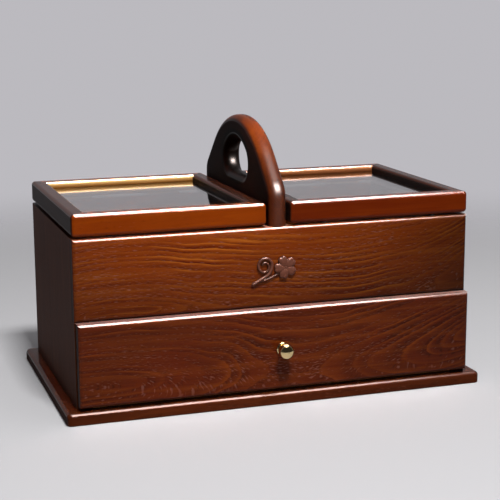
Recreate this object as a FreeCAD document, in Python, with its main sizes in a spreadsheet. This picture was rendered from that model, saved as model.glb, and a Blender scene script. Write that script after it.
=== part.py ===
import FreeCAD, Part
import math
import os
import types

import Sketcher

# Wooden sewing basket: a box on a base board, with a drawer below, two glazed lids
# above and one fixed carrying handle that stands between the lids. Millimetres.
# X runs to the right, the front faces -Y, Z is up, and the origin is the middle of
# the underside of the base board.

Vector = FreeCAD.Vector
doc = FreeCAD.newDocument("sewing_basket")

# Driving dimensions: name, millimetres (degrees where the note says so), note
dimensions = [
    ("base_thickness", 9.5, "base board"),
    ("base_edge_radius", 3.2, "rounding of the base board's upper edge"),
    ("base_corner_radius", 4, "rounding of the base board's corners"),
    ("base_foot_radius", 1, "rounding of the base board's lower edge"),
    ("side_overhang", 9.7, "base board beyond the box, left and right"),
    ("front_overhang", 11.5, "base board in front of the box"),
    ("back_overhang", 6.5, "base board behind the box"),
    ("box_width", 331.2, "box and lids, left to right"),
    ("box_depth", 182, "box and lids, front to back"),
    ("box_height", 133.5, "box above the base board"),
    ("side_thickness", 12, "side panels"),
    ("front_thickness", 10, "upper front panel"),
    ("back_thickness", 10, "back panel"),
    ("panel_radius", 3, "rounding of the panels' outer edges"),
    ("drawer_opening_height", 68.4, "opening for the drawer, above the base board"),
    ("floor_thickness", 6, "floor of the upper compartments"),
    ("floor_groove", 4, "depth of the floor's grooves in the side panels"),
    ("handle_groove", 3, "depth of the handle board's grooves, front and back"),
    ("dowel_diameter", 6, "panel dowels"),
    ("dowel_length", 20, "panel dowels"),
    ("front_dowel_depth", 6, "dowel in the upper front panel"),
    ("side_dowel_depth", 8, "dowel in a side panel, from inside"),
    ("handle_thickness", 15.6, "handle board"),
    ("handle_front_setback", 0.8, "handle's foot behind the box's front"),
    ("handle_back_setback", 3.2, "handle's foot before the box's back"),
    ("handle_height", 80, "top of the handle above the box"),
    ("flank_steepness", 1.315, "flanks' angle over that of a line from shoulder to crest"),
    ("shoulder_radius", 18, "handle, between foot and flank"),
    ("shoulder_rise", 22, "start of the shoulder above the box"),
    ("handle_radius", 6.5, "rounding of the handle's edges"),
    ("grip_hole_width", 60.6, "finger hole, front to back"),
    ("grip_hole_height", 29, "finger hole"),
    ("grip_corner_radius", 11, "lower corners of the finger hole"),
    ("grip_thickness", 20, "handle above the finger hole"),
    ("lid_thickness", 17.5, "lids"),
    ("lid_radius", 3, "rounding of the lids' outer edges"),
    ("lid_side_gap", 2, "between a lid and the handle board"),
    ("rail_width", 12.5, "lid rails, seen from above"),
    ("rail_inner_radius", 2.8, "rounding of the rails' inner upper edge"),
    ("lip_thickness", 5.4, "rails above the glass"),
    ("rebate_width", 5, "rebate in the rails' underside, for the glass"),
    ("glass_thickness", 3, "panes"),
    ("glass_clearance", 0.6, "between a pane and its rails"),
    ("bead_width", 3.4, "glazing beads under the glass"),
    ("bead_height", 3.6, "glazing beads under the glass"),
    ("bead_radius", 1.2, "rounding of the glazing beads"),
    ("bumper_diameter", 5, "lid bumpers"),
    ("bumper_gap", 0.1, "between a bumper and the box"),
    ("bumper_inset", 30, "bumper from the end of its lid"),
    ("drawer_front_thickness", 8.2, "drawer front"),
    ("drawer_front_reveal", 0.9, "drawer front inside the box width, each end"),
    ("drawer_front_gap", 0.3, "between the drawer front and the side panels"),
    ("drawer_gap_below", 2.4, "drawer front above the base board"),
    ("drawer_lap_above", 0.5, "drawer front over the lower edge of the upper front panel"),
    ("drawer_front_radius", 3, "rounding of the drawer front"),
    ("drawer_clearance", 0.6, "between the drawer and each side panel"),
    ("drawer_lift", 0.3, "drawer sides above the base board"),
    ("drawer_top_clearance", 7.7, "drawer sides below the compartment floor"),
    ("drawer_rear_clearance", 6.3, "drawer before the back panel"),
    ("drawer_wall", 8, "drawer sides, inner front and back"),
    ("drawer_groove", 4, "depth of the grooves for the drawer bottom"),
    ("drawer_bottom_rise", 5, "drawer bottom above the sides' lower edge"),
    ("drawer_bottom_thickness", 3, "drawer bottom"),
    ("drawer_hold", 51, "of the drawer that stays in the box at full travel"),
    ("peg_diameter", 4, "drawer pegs"),
    ("peg_length", 20, "drawer pegs"),
    ("stop_width", 60, "drawer stop"),
    ("stop_depth", 8, "drawer stop"),
    ("stop_overlap", 3.3, "drawer stop below the top of the drawer back"),
    ("stop_clearance", 0.3, "between the stop and the drawer back at full travel"),
    ("knob_rise", 35.6, "middle of the knob above the base board"),
    ("knob_diameter", 12.7, "knob"),
    ("knob_side_radius", 5.1, "roundness of the knob's side"),
    ("knob_neck_diameter", 6.4, "knob neck"),
    ("knob_neck_length", 2.6, "knob neck"),
    ("rose_diameter", 10.6, "rose behind the knob"),
    ("rose_thickness", 1.8, "rose behind the knob"),
    ("knob_screw_diameter", 4, "screw that holds the knob"),
    ("knob_screw_head", 7.2, "screw that holds the knob"),
    ("knob_screw_head_height", 2.4, "screw that holds the knob"),
    ("knob_thread_depth", 6, "thread in the knob"),
    ("hinge_length", 28, "hinges"),
    ("hinge_leaf_width", 7.5, "hinge leaves on the wood"),
    ("hinge_leaf_thickness", 0.7, "hinge leaves"),
    ("hinge_leaf_gap", 0.2, "between two closed leaves"),
    ("hinge_knuckle_diameter", 3.6, "hinge knuckles"),
    ("hinge_knuckle_gap", 0.2, "between two knuckles"),
    ("hinge_back_gap", 0.2, "between the knuckles and the box"),
    ("hinge_pin_diameter", 1.6, "hinge pins"),
    ("hinge_pin_clearance", 0.05, "around a pin in the lid's knuckle"),
    ("hinge_inset", 38, "middle of a hinge from the end of its lid"),
    ("hinge_screw_inset", 5.5, "leaf screw from the end of its leaf"),
    ("screw_head_diameter", 7, "wood screws of the box"),
    ("screw_diameter", 3.5, "wood screws of the box"),
    ("screw_length", 30, "wood screws of the box"),
    ("small_screw_head_diameter", 3.4, "hinge screws"),
    ("small_screw_diameter", 1.8, "hinge screws"),
    ("small_screw_length", 8, "hinge screws"),
    ("front_screw_head_diameter", 6, "screws of the drawer front"),
    ("front_screw_diameter", 3, "screws of the drawer front"),
    ("front_screw_cover", 2.2, "wood before the tips of those screws"),
    ("blossom_offset", 5.1, "middle of the blossom, from the middle of the box"),
    ("blossom_rise", 100.5, "middle of the blossom above the base board"),
    ("petal_length", 9.6, "emblem"),
    ("petal_width", 8.8, "emblem"),
    ("petal_thickness", 3, "emblem"),
    ("petal_edge_radius", 1, "emblem"),
    ("petal_turn", 22, "degrees of the top petal, anticlockwise from the front"),
    ("blossom_eye_diameter", 3.4, "emblem"),
    ("blossom_eye_rise", 0.7, "emblem"),
    ("tendril_diameter", 1.9, "emblem"),
    ("tendril_tip_left", 28.4, "tip of the tendril, from the blossom's middle"),
    ("tendril_tip_drop", 12.8, "tip of the tendril, from the blossom's middle"),
    ("tendril_tail", 13, "straight part of the tendril"),
    ("tendril_slope", 28, "degrees of the straight part"),
    ("tendril_bend_radius", 10.4, "from the straight part to the curl"),
    ("curl_radius", 5.6, "outer turn of the curl"),
    ("curl_turn", 243, "degrees of the curl's outer turn"),
    ("curl_step", 1.7, "each half turn of the curl is this much tighter"),
    ("stem_diameter", 1.7, "emblem"),
    ("stem_end_left", 5.2, "end of the stem, from the blossom's middle"),
    ("stem_end_drop", 4.4, "end of the stem, from the blossom's middle"),
    ("stem_sag", 1.1, "emblem"),
]

sheet = doc.addObject("Spreadsheet::Sheet", "Sizes")
for row, (alias, millimetres, note) in enumerate(dimensions, 1):
    sheet.set("A%d" % row, alias)
    sheet.set("B%d" % row, str(millimetres))
    sheet.setAlias("B%d" % row, alias)
    sheet.set("C%d" % row, note)
doc.recompute()


class Size:
    """A length that keeps the spreadsheet formula it comes from."""

    def __init__(self, formula, millimetres):
        self.formula = formula
        self.millimetres = millimetres

    def __float__(self):
        return float(self.millimetres)

    def __add__(self, other):
        other = as_size(other)
        return Size("(%s + %s)" % (self.formula, other.formula), self.millimetres + other.millimetres)

    def __sub__(self, other):
        other = as_size(other)
        return Size("(%s - %s)" % (self.formula, other.formula), self.millimetres - other.millimetres)

    def __mul__(self, other):
        other = as_size(other)
        return Size("(%s * %s)" % (self.formula, other.formula), self.millimetres * other.millimetres)

    def __truediv__(self, other):
        other = as_size(other)
        return Size("(%s / %s)" % (self.formula, other.formula), self.millimetres / other.millimetres)

    def __neg__(self):
        return self * -1

    def __radd__(self, other):
        return as_size(other) + self

    def __rsub__(self, other):
        return as_size(other) - self

    def __rmul__(self, other):
        return as_size(other) * self


def as_size(value):
    return value if isinstance(value, Size) else Size(repr(float(value)), float(value))


def sine(degrees):
    return Size("sin(%s)" % degrees.formula, math.sin(math.radians(float(degrees))))


def arctangent(ratio):
    return Size("atan(%s)" % ratio.formula, math.degrees(math.atan(float(ratio))))


def cosine(degrees):
    return Size("cos(%s)" % degrees.formula, math.cos(math.radians(float(degrees))))


size = types.SimpleNamespace()
for alias, millimetres, note in dimensions:
    setattr(size, alias, Size("Sizes." + alias, float(sheet.get(alias))))

# Places that several pieces share
base_width = size.box_width + size.side_overhang * 2
base_depth = size.front_overhang + size.box_depth + size.back_overhang
base_top = size.base_thickness
box_left = -size.box_width / 2
box_right = size.box_width / 2
box_front = size.front_overhang - base_depth / 2
box_back = box_front + size.box_depth
box_top = base_top + size.box_height
inner_left = box_left + size.side_thickness
inner_right = box_right - size.side_thickness
front_panel_back = box_front + size.front_thickness
back_panel_front = box_back - size.back_thickness
opening_top = base_top + size.drawer_opening_height
floor_top = opening_top + size.floor_thickness
lid_gap = size.hinge_leaf_thickness * 2 + size.hinge_leaf_gap
lid_bottom = box_top + lid_gap
glass_bottom = lid_bottom + size.lid_thickness - size.lip_thickness - size.glass_thickness
hinge_offset = size.hinge_knuckle_diameter / 2 + size.hinge_back_gap
hinge_y = box_back + hinge_offset
hinge_z = box_top + lid_gap / 2
handle_front = box_front + size.handle_front_setback
handle_back = box_back - size.handle_back_setback
handle_y = (handle_front + handle_back) / 2
handle_half_depth = (handle_back - handle_front) / 2
drawer_face_back = box_front - size.drawer_front_gap
drawer_face = drawer_face_back - size.drawer_front_thickness
drawer_left = inner_left + size.drawer_clearance
drawer_right = inner_right - size.drawer_clearance
drawer_foot = base_top + size.drawer_lift
drawer_top = opening_top - size.drawer_top_clearance
drawer_inner_back = drawer_face_back + size.drawer_wall
drawer_rear = back_panel_front - size.drawer_rear_clearance
drawer_back_front = drawer_rear - size.drawer_wall
drawer_travel = drawer_rear - drawer_face_back - size.drawer_hold
bottom_low = drawer_foot + size.drawer_bottom_rise
bottom_high = bottom_low + size.drawer_bottom_thickness
knob_z = base_top + size.knob_rise

# Where fasteners sit along the piece that they hold, as shares of its length
front_dowel_shares = (0.25, 0.75)
back_dowel_shares = (0.3, 0.75)
side_screw_shares = (0.12, 0.5, 0.82)
back_screw_share = 0.5
board_screw_shares = (0.25, 0.7)
peg_shares = (0.3, 0.75)
drawer_screw_share = 0.65

nodes = {}


# Helpers
def bind(thing, prop, value):
    thing.setExpression(prop, as_size(value).formula)


def bind_place(thing, corner):
    for letter, value in zip("xyz", corner):
        bind(thing, "Placement.Base." + letter, value)


def new_body(name):
    return doc.addObject("PartDesign::Body", name)


def add_block(body, kind, name, low, high):
    """An additive or subtractive box between two corners."""
    block = body.newObject("PartDesign::%sBox" % kind, name)
    for prop, start, end in zip(("Length", "Width", "Height"), low, high):
        bind(block, prop, as_size(end) - start)
    bind_place(block, low)
    return block


def add_rod(body, kind, name, radius, start, length, rotation):
    """An additive or subtractive cylinder."""
    rod = body.newObject("PartDesign::%sCylinder" % kind, name)
    bind(rod, "Radius", radius)
    bind(rod, "Height", length)
    rod.Placement = FreeCAD.Placement(Vector(0, 0, 0), rotation)
    bind_place(rod, start)
    return rod


def new_sketch(body, role, offset=0):
    """A sketch on one of the body's own planes, moved along the plane's normal."""
    sketch = body.newObject("Sketcher::SketchObject", body.Name + "_sketch")
    plane = [item for item in body.Origin.OriginFeatures if item.Role == role][0]
    sketch.AttachmentSupport = (plane, "")
    sketch.MapMode = "FlatFace"
    bind(sketch, "AttachmentOffset.Base.z", offset)
    return sketch


def pin_down(sketch, geometry, point, corner):
    """Ties one point of a sketch to its two coordinates."""
    for kind, value in zip(("DistanceX", "DistanceY"), corner):
        index = sketch.addConstraint(
            Sketcher.Constraint(kind, -1, 1, geometry, point, float(value)))
        bind(sketch, "Constraints[%d]" % index, value)


def draw_polygon(sketch, corners):
    """A closed outline of straight lines whose corners all come from the sheet."""
    points = [Vector(float(x), float(y), 0) for x, y in corners]
    first = sketch.GeometryCount
    count = len(points)
    for index in range(count):
        sketch.addGeometry(Part.LineSegment(points[index], points[(index + 1) % count]), False)
    for index in range(count):
        following = first + (index + 1) % count
        sketch.addConstraint(Sketcher.Constraint("Coincident", first + index, 2, following, 1))
    for index, corner in enumerate(corners):
        pin_down(sketch, first + index, 1, corner)


def pad(body, sketch, length, midplane=False):
    feature = body.newObject("PartDesign::Pad", body.Name + "_pad")
    feature.Profile = sketch
    feature.Midplane = midplane
    bind(feature, "Length", length)
    return feature


def lies_at(edge, axis, place):
    """True for an edge that lies in one plane square to an axis."""
    box = edge.BoundBox
    low, high = {"x": (box.XMin, box.XMax), "y": (box.YMin, box.YMax), "z": (box.ZMin, box.ZMax)}[axis]
    return abs(low - float(place)) < 0.001 and abs(high - float(place)) < 0.001


def runs_along(edge, axis):
    """True for a straight edge parallel to an axis."""
    if not isinstance(edge.Curve, Part.Line):
        return False
    return abs(getattr(edge.tangentAt(edge.FirstParameter), axis)) > 0.999


def round_edges(body, radius, wanted):
    """Rounds those edges of the body so far for which wanted(edge) is true."""
    doc.recompute()
    so_far = body.Tip
    edges = ["Edge%d" % number for number, edge in enumerate(so_far.Shape.Edges, 1) if wanted(edge)]
    fillet = body.newObject("PartDesign::Fillet", body.Name + "_rounding")
    fillet.Base = (so_far, edges)
    bind(fillet, "Radius", radius)
    return fillet


def add_node(name, thing):
    """Names a finished sub-part."""
    thing.Label = name
    nodes[name] = thing
    return thing


def cut_holes(name, blank, cutters):
    """The finished sub-part: its blank without the holes of each cutter."""
    for step, cutter in enumerate(cutters, 1):
        last = step == len(cutters)
        result = doc.addObject("Part::Cut", name if last else "%s_holes_%d" % (name, step))
        result.Base = blank
        result.Tool = cutter
        blank = result
    return add_node(name, blank)


def add_group(name, shape, places, is_node=True):
    """Copies of one shape, each with its own place, as one group of solids."""
    group = doc.addObject("Part::Feature", name)
    copies = []
    for place in places:
        copy = shape.copy()
        copy.Placement = place.multiply(shape.Placement)
        copies.append(copy)
    group.Shape = Part.makeCompound(copies)
    group.Placement = FreeCAD.Placement()
    return add_node(name, group) if is_node else group


def aimed(x, y, z, direction):
    """The place of a fastener whose head is at a point and which drives in a direction."""
    return FreeCAD.Placement(Vector(float(x), float(y), float(z)),
                             FreeCAD.Rotation(Vector(0, 0, -1), Vector(*direction)))


def countersunk_screw(name, head_diameter, shank_diameter, length):
    """A wood screw along -Z with its head's top at the origin.

    Returns the screw and the same shape without the cross in its head.
    """
    body = new_body(name)
    sketch = new_sketch(body, "XZ_Plane")
    head_radius = head_diameter / 2
    shank_radius = shank_diameter / 2
    head_depth = (head_diameter - shank_diameter) / 2
    draw_polygon(sketch, [
        (0, 0),
        (head_radius, 0),
        (shank_radius, -head_depth),
        (shank_radius, shank_diameter - length),
        (0, -length)])
    turned = body.newObject("PartDesign::Revolution", name + "_turned")
    turned.Profile = sketch
    turned.ReferenceAxis = (sketch, ["V_Axis"])
    turned.Angle = 360
    doc.recompute()
    slot_half = shank_diameter / 10
    cross_half = shank_diameter / 2
    cross_depth = head_depth / 1.6
    for along_x in (True, False):
        reach = (cross_half, slot_half) if along_x else (slot_half, cross_half)
        add_block(body, "Subtractive", "%s_cross_%s" % (name, "x" if along_x else "y"),
                  (-reach[0], -reach[1], -cross_depth), (reach[0], reach[1], 0.5))
    doc.recompute()
    return body, turned


# Fasteners that several pieces share
screw, screw_blank = countersunk_screw(
    "wood_screw", size.screw_head_diameter, size.screw_diameter, size.screw_length)
small_screw, small_blank = countersunk_screw(
    "hinge_screw", size.small_screw_head_diameter, size.small_screw_diameter, size.small_screw_length)
front_screw, front_screw_blank = countersunk_screw(
    "drawer_screw", size.front_screw_head_diameter, size.front_screw_diameter,
    size.drawer_wall + size.drawer_front_thickness - size.front_screw_cover)

up = (0, 0, 1)
down = (0, 0, -1)
back = (0, 1, 0)
forward = (0, -1, 0)


def peg(name, diameter, length):
    """A plain round peg along +Z from the origin."""
    rod = doc.addObject("Part::Cylinder", name)
    bind(rod, "Radius", diameter / 2)
    bind(rod, "Height", length)
    doc.recompute()
    return rod


def lying(x, y, z, direction):
    """The place of a peg that starts at a point and runs in a direction."""
    return FreeCAD.Placement(Vector(float(x), float(y), float(z)),
                             FreeCAD.Rotation(Vector(0, 0, 1), Vector(*direction)))


# Panel dowels: two at each front corner, from the upper front panel into the side
# panels, and two at each back corner, from the side panels into the back panel
dowel = peg("dowel", size.dowel_diameter, size.dowel_length)
side_middle = box_right - size.side_thickness / 2
upper_panel_height = box_top - opening_top
dowel_places = []
for side in (-1, 1):
    for share in front_dowel_shares:
        dowel_places.append(lying(
            float(side_middle) * side, front_panel_back - size.front_dowel_depth,
            opening_top + upper_panel_height * share, back))
    for share in back_dowel_shares:
        dowel_places.append(lying(
            float(inner_right + size.side_dowel_depth) * side, box_back - size.back_thickness / 2,
            base_top + size.box_height * share, (-side, 0, 0)))
panel_dowels = add_group("panel_dowels", dowel.Shape, dowel_places)

# Base screws: three up into each side panel and two up into the back panel
base_screw_places = []
for side in (-1, 1):
    for share in side_screw_shares:
        base_screw_places.append(aimed(
            float(side_middle) * side, box_front + size.box_depth * share, 0, up))
    base_screw_places.append(aimed(
        float(inner_right) * side * back_screw_share, box_back - size.back_thickness / 2, 0, up))
add_group("base_screws", screw.Shape, base_screw_places)
base_screw_holes = add_group("base_screw_holes", screw_blank.Shape, base_screw_places, is_node=False)

# Handle screws: two up through the compartment floor and two forward through the
# back panel, all into the handle board
handle_screw_places = []
for side in (-1, 1):
    handle_screw_places.append(aimed(0, handle_y + handle_half_depth * side / 3, opening_top, up))
for share in board_screw_shares:
    handle_screw_places.append(aimed(
        0, box_back, floor_top + (box_top - floor_top) * share, forward))
add_group("handle_screws", screw.Shape, handle_screw_places)
handle_screw_holes = add_group("handle_screw_holes", screw_blank.Shape, handle_screw_places, is_node=False)

# Hinges: for each lid two butt hinges behind the box, at these distances along X
lids = {
    "left": (box_left, -size.handle_thickness / 2 - size.lid_side_gap),
    "right": (size.handle_thickness / 2 + size.lid_side_gap, box_right),
}


def hinge_middles(side):
    low, high = lids[side]
    return (low + size.hinge_inset, high - size.hinge_inset)


def leaf_screw_places(middles, y, z, direction):
    """Two screws for each hinge, as far from its middle to the left as to the right."""
    reach = size.hinge_length / 2 - size.hinge_screw_inset
    return [aimed(middle + reach * side, y, z, direction) for middle in middles for side in (-1, 1)]


leaf_screw_y = box_back - size.hinge_leaf_width / 2
box_leaf_top = box_top + size.hinge_leaf_thickness
lid_leaf_bottom = lid_bottom - size.hinge_leaf_thickness
box_screw_places = []
for side in lids:
    box_screw_places += leaf_screw_places(hinge_middles(side), leaf_screw_y, box_leaf_top, down)
add_group("hinge_box_screws", small_screw.Shape, box_screw_places)
hinge_box_screw_holes = add_group("hinge_box_screw_holes", small_blank.Shape, box_screw_places, is_node=False)


def hinge_leaf(name, for_lid):
    """One leaf about the hinge axis, which runs through the origin along X.

    The box leaf lies below the axis and carries the two outer knuckles. The lid
    leaf lies above it and carries the middle knuckle.
    """
    body = new_body(name)
    half_length = size.hinge_length / 2
    edge = -hinge_offset
    knuckle_radius = size.hinge_knuckle_diameter / 2
    middle_half = size.hinge_length / 6
    if for_lid:
        low = lid_gap / 2 - size.hinge_leaf_thickness
        high = lid_gap / 2
        spans = [(-middle_half, middle_half)]
        hole_radius = size.hinge_pin_diameter / 2 + size.hinge_pin_clearance
    else:
        low = -lid_gap / 2
        high = size.hinge_leaf_thickness - lid_gap / 2
        gap = size.hinge_knuckle_gap
        spans = [(-half_length, -middle_half - gap), (middle_half + gap, half_length)]
        hole_radius = size.hinge_pin_diameter / 2
    add_block(body, "Additive", name + "_plate", (-half_length, edge - size.hinge_leaf_width, low),
              (half_length, edge, high))
    along_x = FreeCAD.Rotation(Vector(0, 1, 0), 90)
    for number, (start, end) in enumerate(spans, 1):
        add_block(body, "Additive", "%s_web_%d" % (name, number), (start, edge, low), (end, 0, high))
        add_rod(body, "Additive", "%s_knuckle_%d" % (name, number), knuckle_radius,
                (start, 0, 0), end - start, along_x)
    add_rod(body, "Subtractive", name + "_pin_hole", hole_radius,
            (-half_length, 0, 0), size.hinge_length, along_x)
    doc.recompute()
    return body


def cut_leaf_holes(name, leaf, face, direction):
    """A hinge leaf with its two countersunk holes."""
    y = -hinge_offset - size.hinge_leaf_width / 2
    places = leaf_screw_places([0], y, face, direction)
    holes = add_group(name + "_holes", small_blank.Shape, places, is_node=False)
    drilled = doc.addObject("Part::Cut", name + "_drilled")
    drilled.Base = leaf
    drilled.Tool = holes
    doc.recompute()
    return drilled


def on_axis(side):
    return [FreeCAD.Placement(Vector(float(middle), float(hinge_y), float(hinge_z)), FreeCAD.Rotation())
            for middle in hinge_middles(side)]


box_leaf = cut_leaf_holes(
    "box_leaf", hinge_leaf("box_leaf_blank", False), size.hinge_leaf_thickness - lid_gap / 2, down)
lid_leaf = cut_leaf_holes(
    "lid_leaf", hinge_leaf("lid_leaf_blank", True), lid_gap / 2 - size.hinge_leaf_thickness, up)
hinge_pin = peg("hinge_pin", size.hinge_pin_diameter, size.hinge_length)
pin_places = []
for side in lids:
    add_group(side + "_hinge_box_leaves", box_leaf.Shape, on_axis(side))
    add_group(side + "_hinge_lid_leaves", lid_leaf.Shape, on_axis(side))
    for middle in hinge_middles(side):
        pin_places.append(lying(middle - size.hinge_length / 2, hinge_y, hinge_z, (1, 0, 0)))
add_group("hinge_pins", hinge_pin.Shape, pin_places)


# Base board
def make_base_board():
    body = new_body("base_board_blank")
    half_width = base_width / 2
    half_depth = base_depth / 2
    add_block(body, "Additive", "base_plank",
              (-half_width, -half_depth, 0), (half_width, half_depth, base_top))
    round_edges(body, size.base_corner_radius, lambda edge: runs_along(edge, "z"))
    round_edges(body, size.base_edge_radius, lambda edge: lies_at(edge, "z", base_top))
    round_edges(body, size.base_foot_radius, lambda edge: lies_at(edge, "z", 0))
    cut_holes("base_board", body, [base_screw_holes])


# Side panels: the upper front panel laps over a notch in their front edge
def make_side_panel(name, low_x, outer_x, groove_low, groove_high):
    body = new_body(name + "_blank")
    sketch = new_sketch(body, "YZ_Plane", low_x)
    draw_polygon(sketch, [
        (box_front, base_top),
        (box_back, base_top),
        (box_back, box_top),
        (front_panel_back, box_top),
        (front_panel_back, opening_top),
        (box_front, opening_top)])
    pad(body, sketch, size.side_thickness)
    add_block(body, "Subtractive", name + "_floor_groove",
              (groove_low, front_panel_back, opening_top), (groove_high, back_panel_front, floor_top))
    round_edges(body, size.panel_radius, lambda edge: (
        runs_along(edge, "z") and lies_at(edge, "x", outer_x) and lies_at(edge, "y", box_back)))
    cut_holes(name, body, [panel_dowels, base_screw_holes])


# Upper front panel, with a groove at its back for the handle board
def make_upper_front_panel():
    body = new_body("upper_front_blank")
    add_block(body, "Additive", "upper_front_plank",
              (box_left, box_front, opening_top), (box_right, front_panel_back, box_top))
    half_board = size.handle_thickness / 2
    add_block(body, "Subtractive", "front_handle_groove",
              (-half_board, front_panel_back - size.handle_groove, floor_top),
              (half_board, front_panel_back, box_top))
    round_edges(body, size.panel_radius, lambda edge: lies_at(edge, "y", box_front))
    cut_holes("upper_front_panel", body, [panel_dowels])


# Back panel between the side panels, with the same groove
def make_back_panel():
    body = new_body("back_panel_blank")
    add_block(body, "Additive", "back_plank",
              (inner_left, back_panel_front, base_top), (inner_right, box_back, box_top))
    half_board = size.handle_thickness / 2
    add_block(body, "Subtractive", "back_handle_groove",
              (-half_board, back_panel_front, floor_top),
              (half_board, back_panel_front + size.handle_groove, box_top))
    cut_holes("back_panel", body, [panel_dowels, base_screw_holes, handle_screw_holes, hinge_box_screw_holes])


# Floor of the two upper compartments, in grooves in the side panels
def make_compartment_floor():
    plank = doc.addObject("Part::Box", "compartment_floor_blank")
    low = (inner_left - size.floor_groove, front_panel_back, opening_top)
    high = (inner_right + size.floor_groove, back_panel_front, floor_top)
    for prop, start, end in zip(("Length", "Width", "Height"), low, high):
        bind(plank, prop, end - start)
    bind_place(plank, low)
    cut_holes("compartment_floor", plank, [handle_screw_holes])


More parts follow.
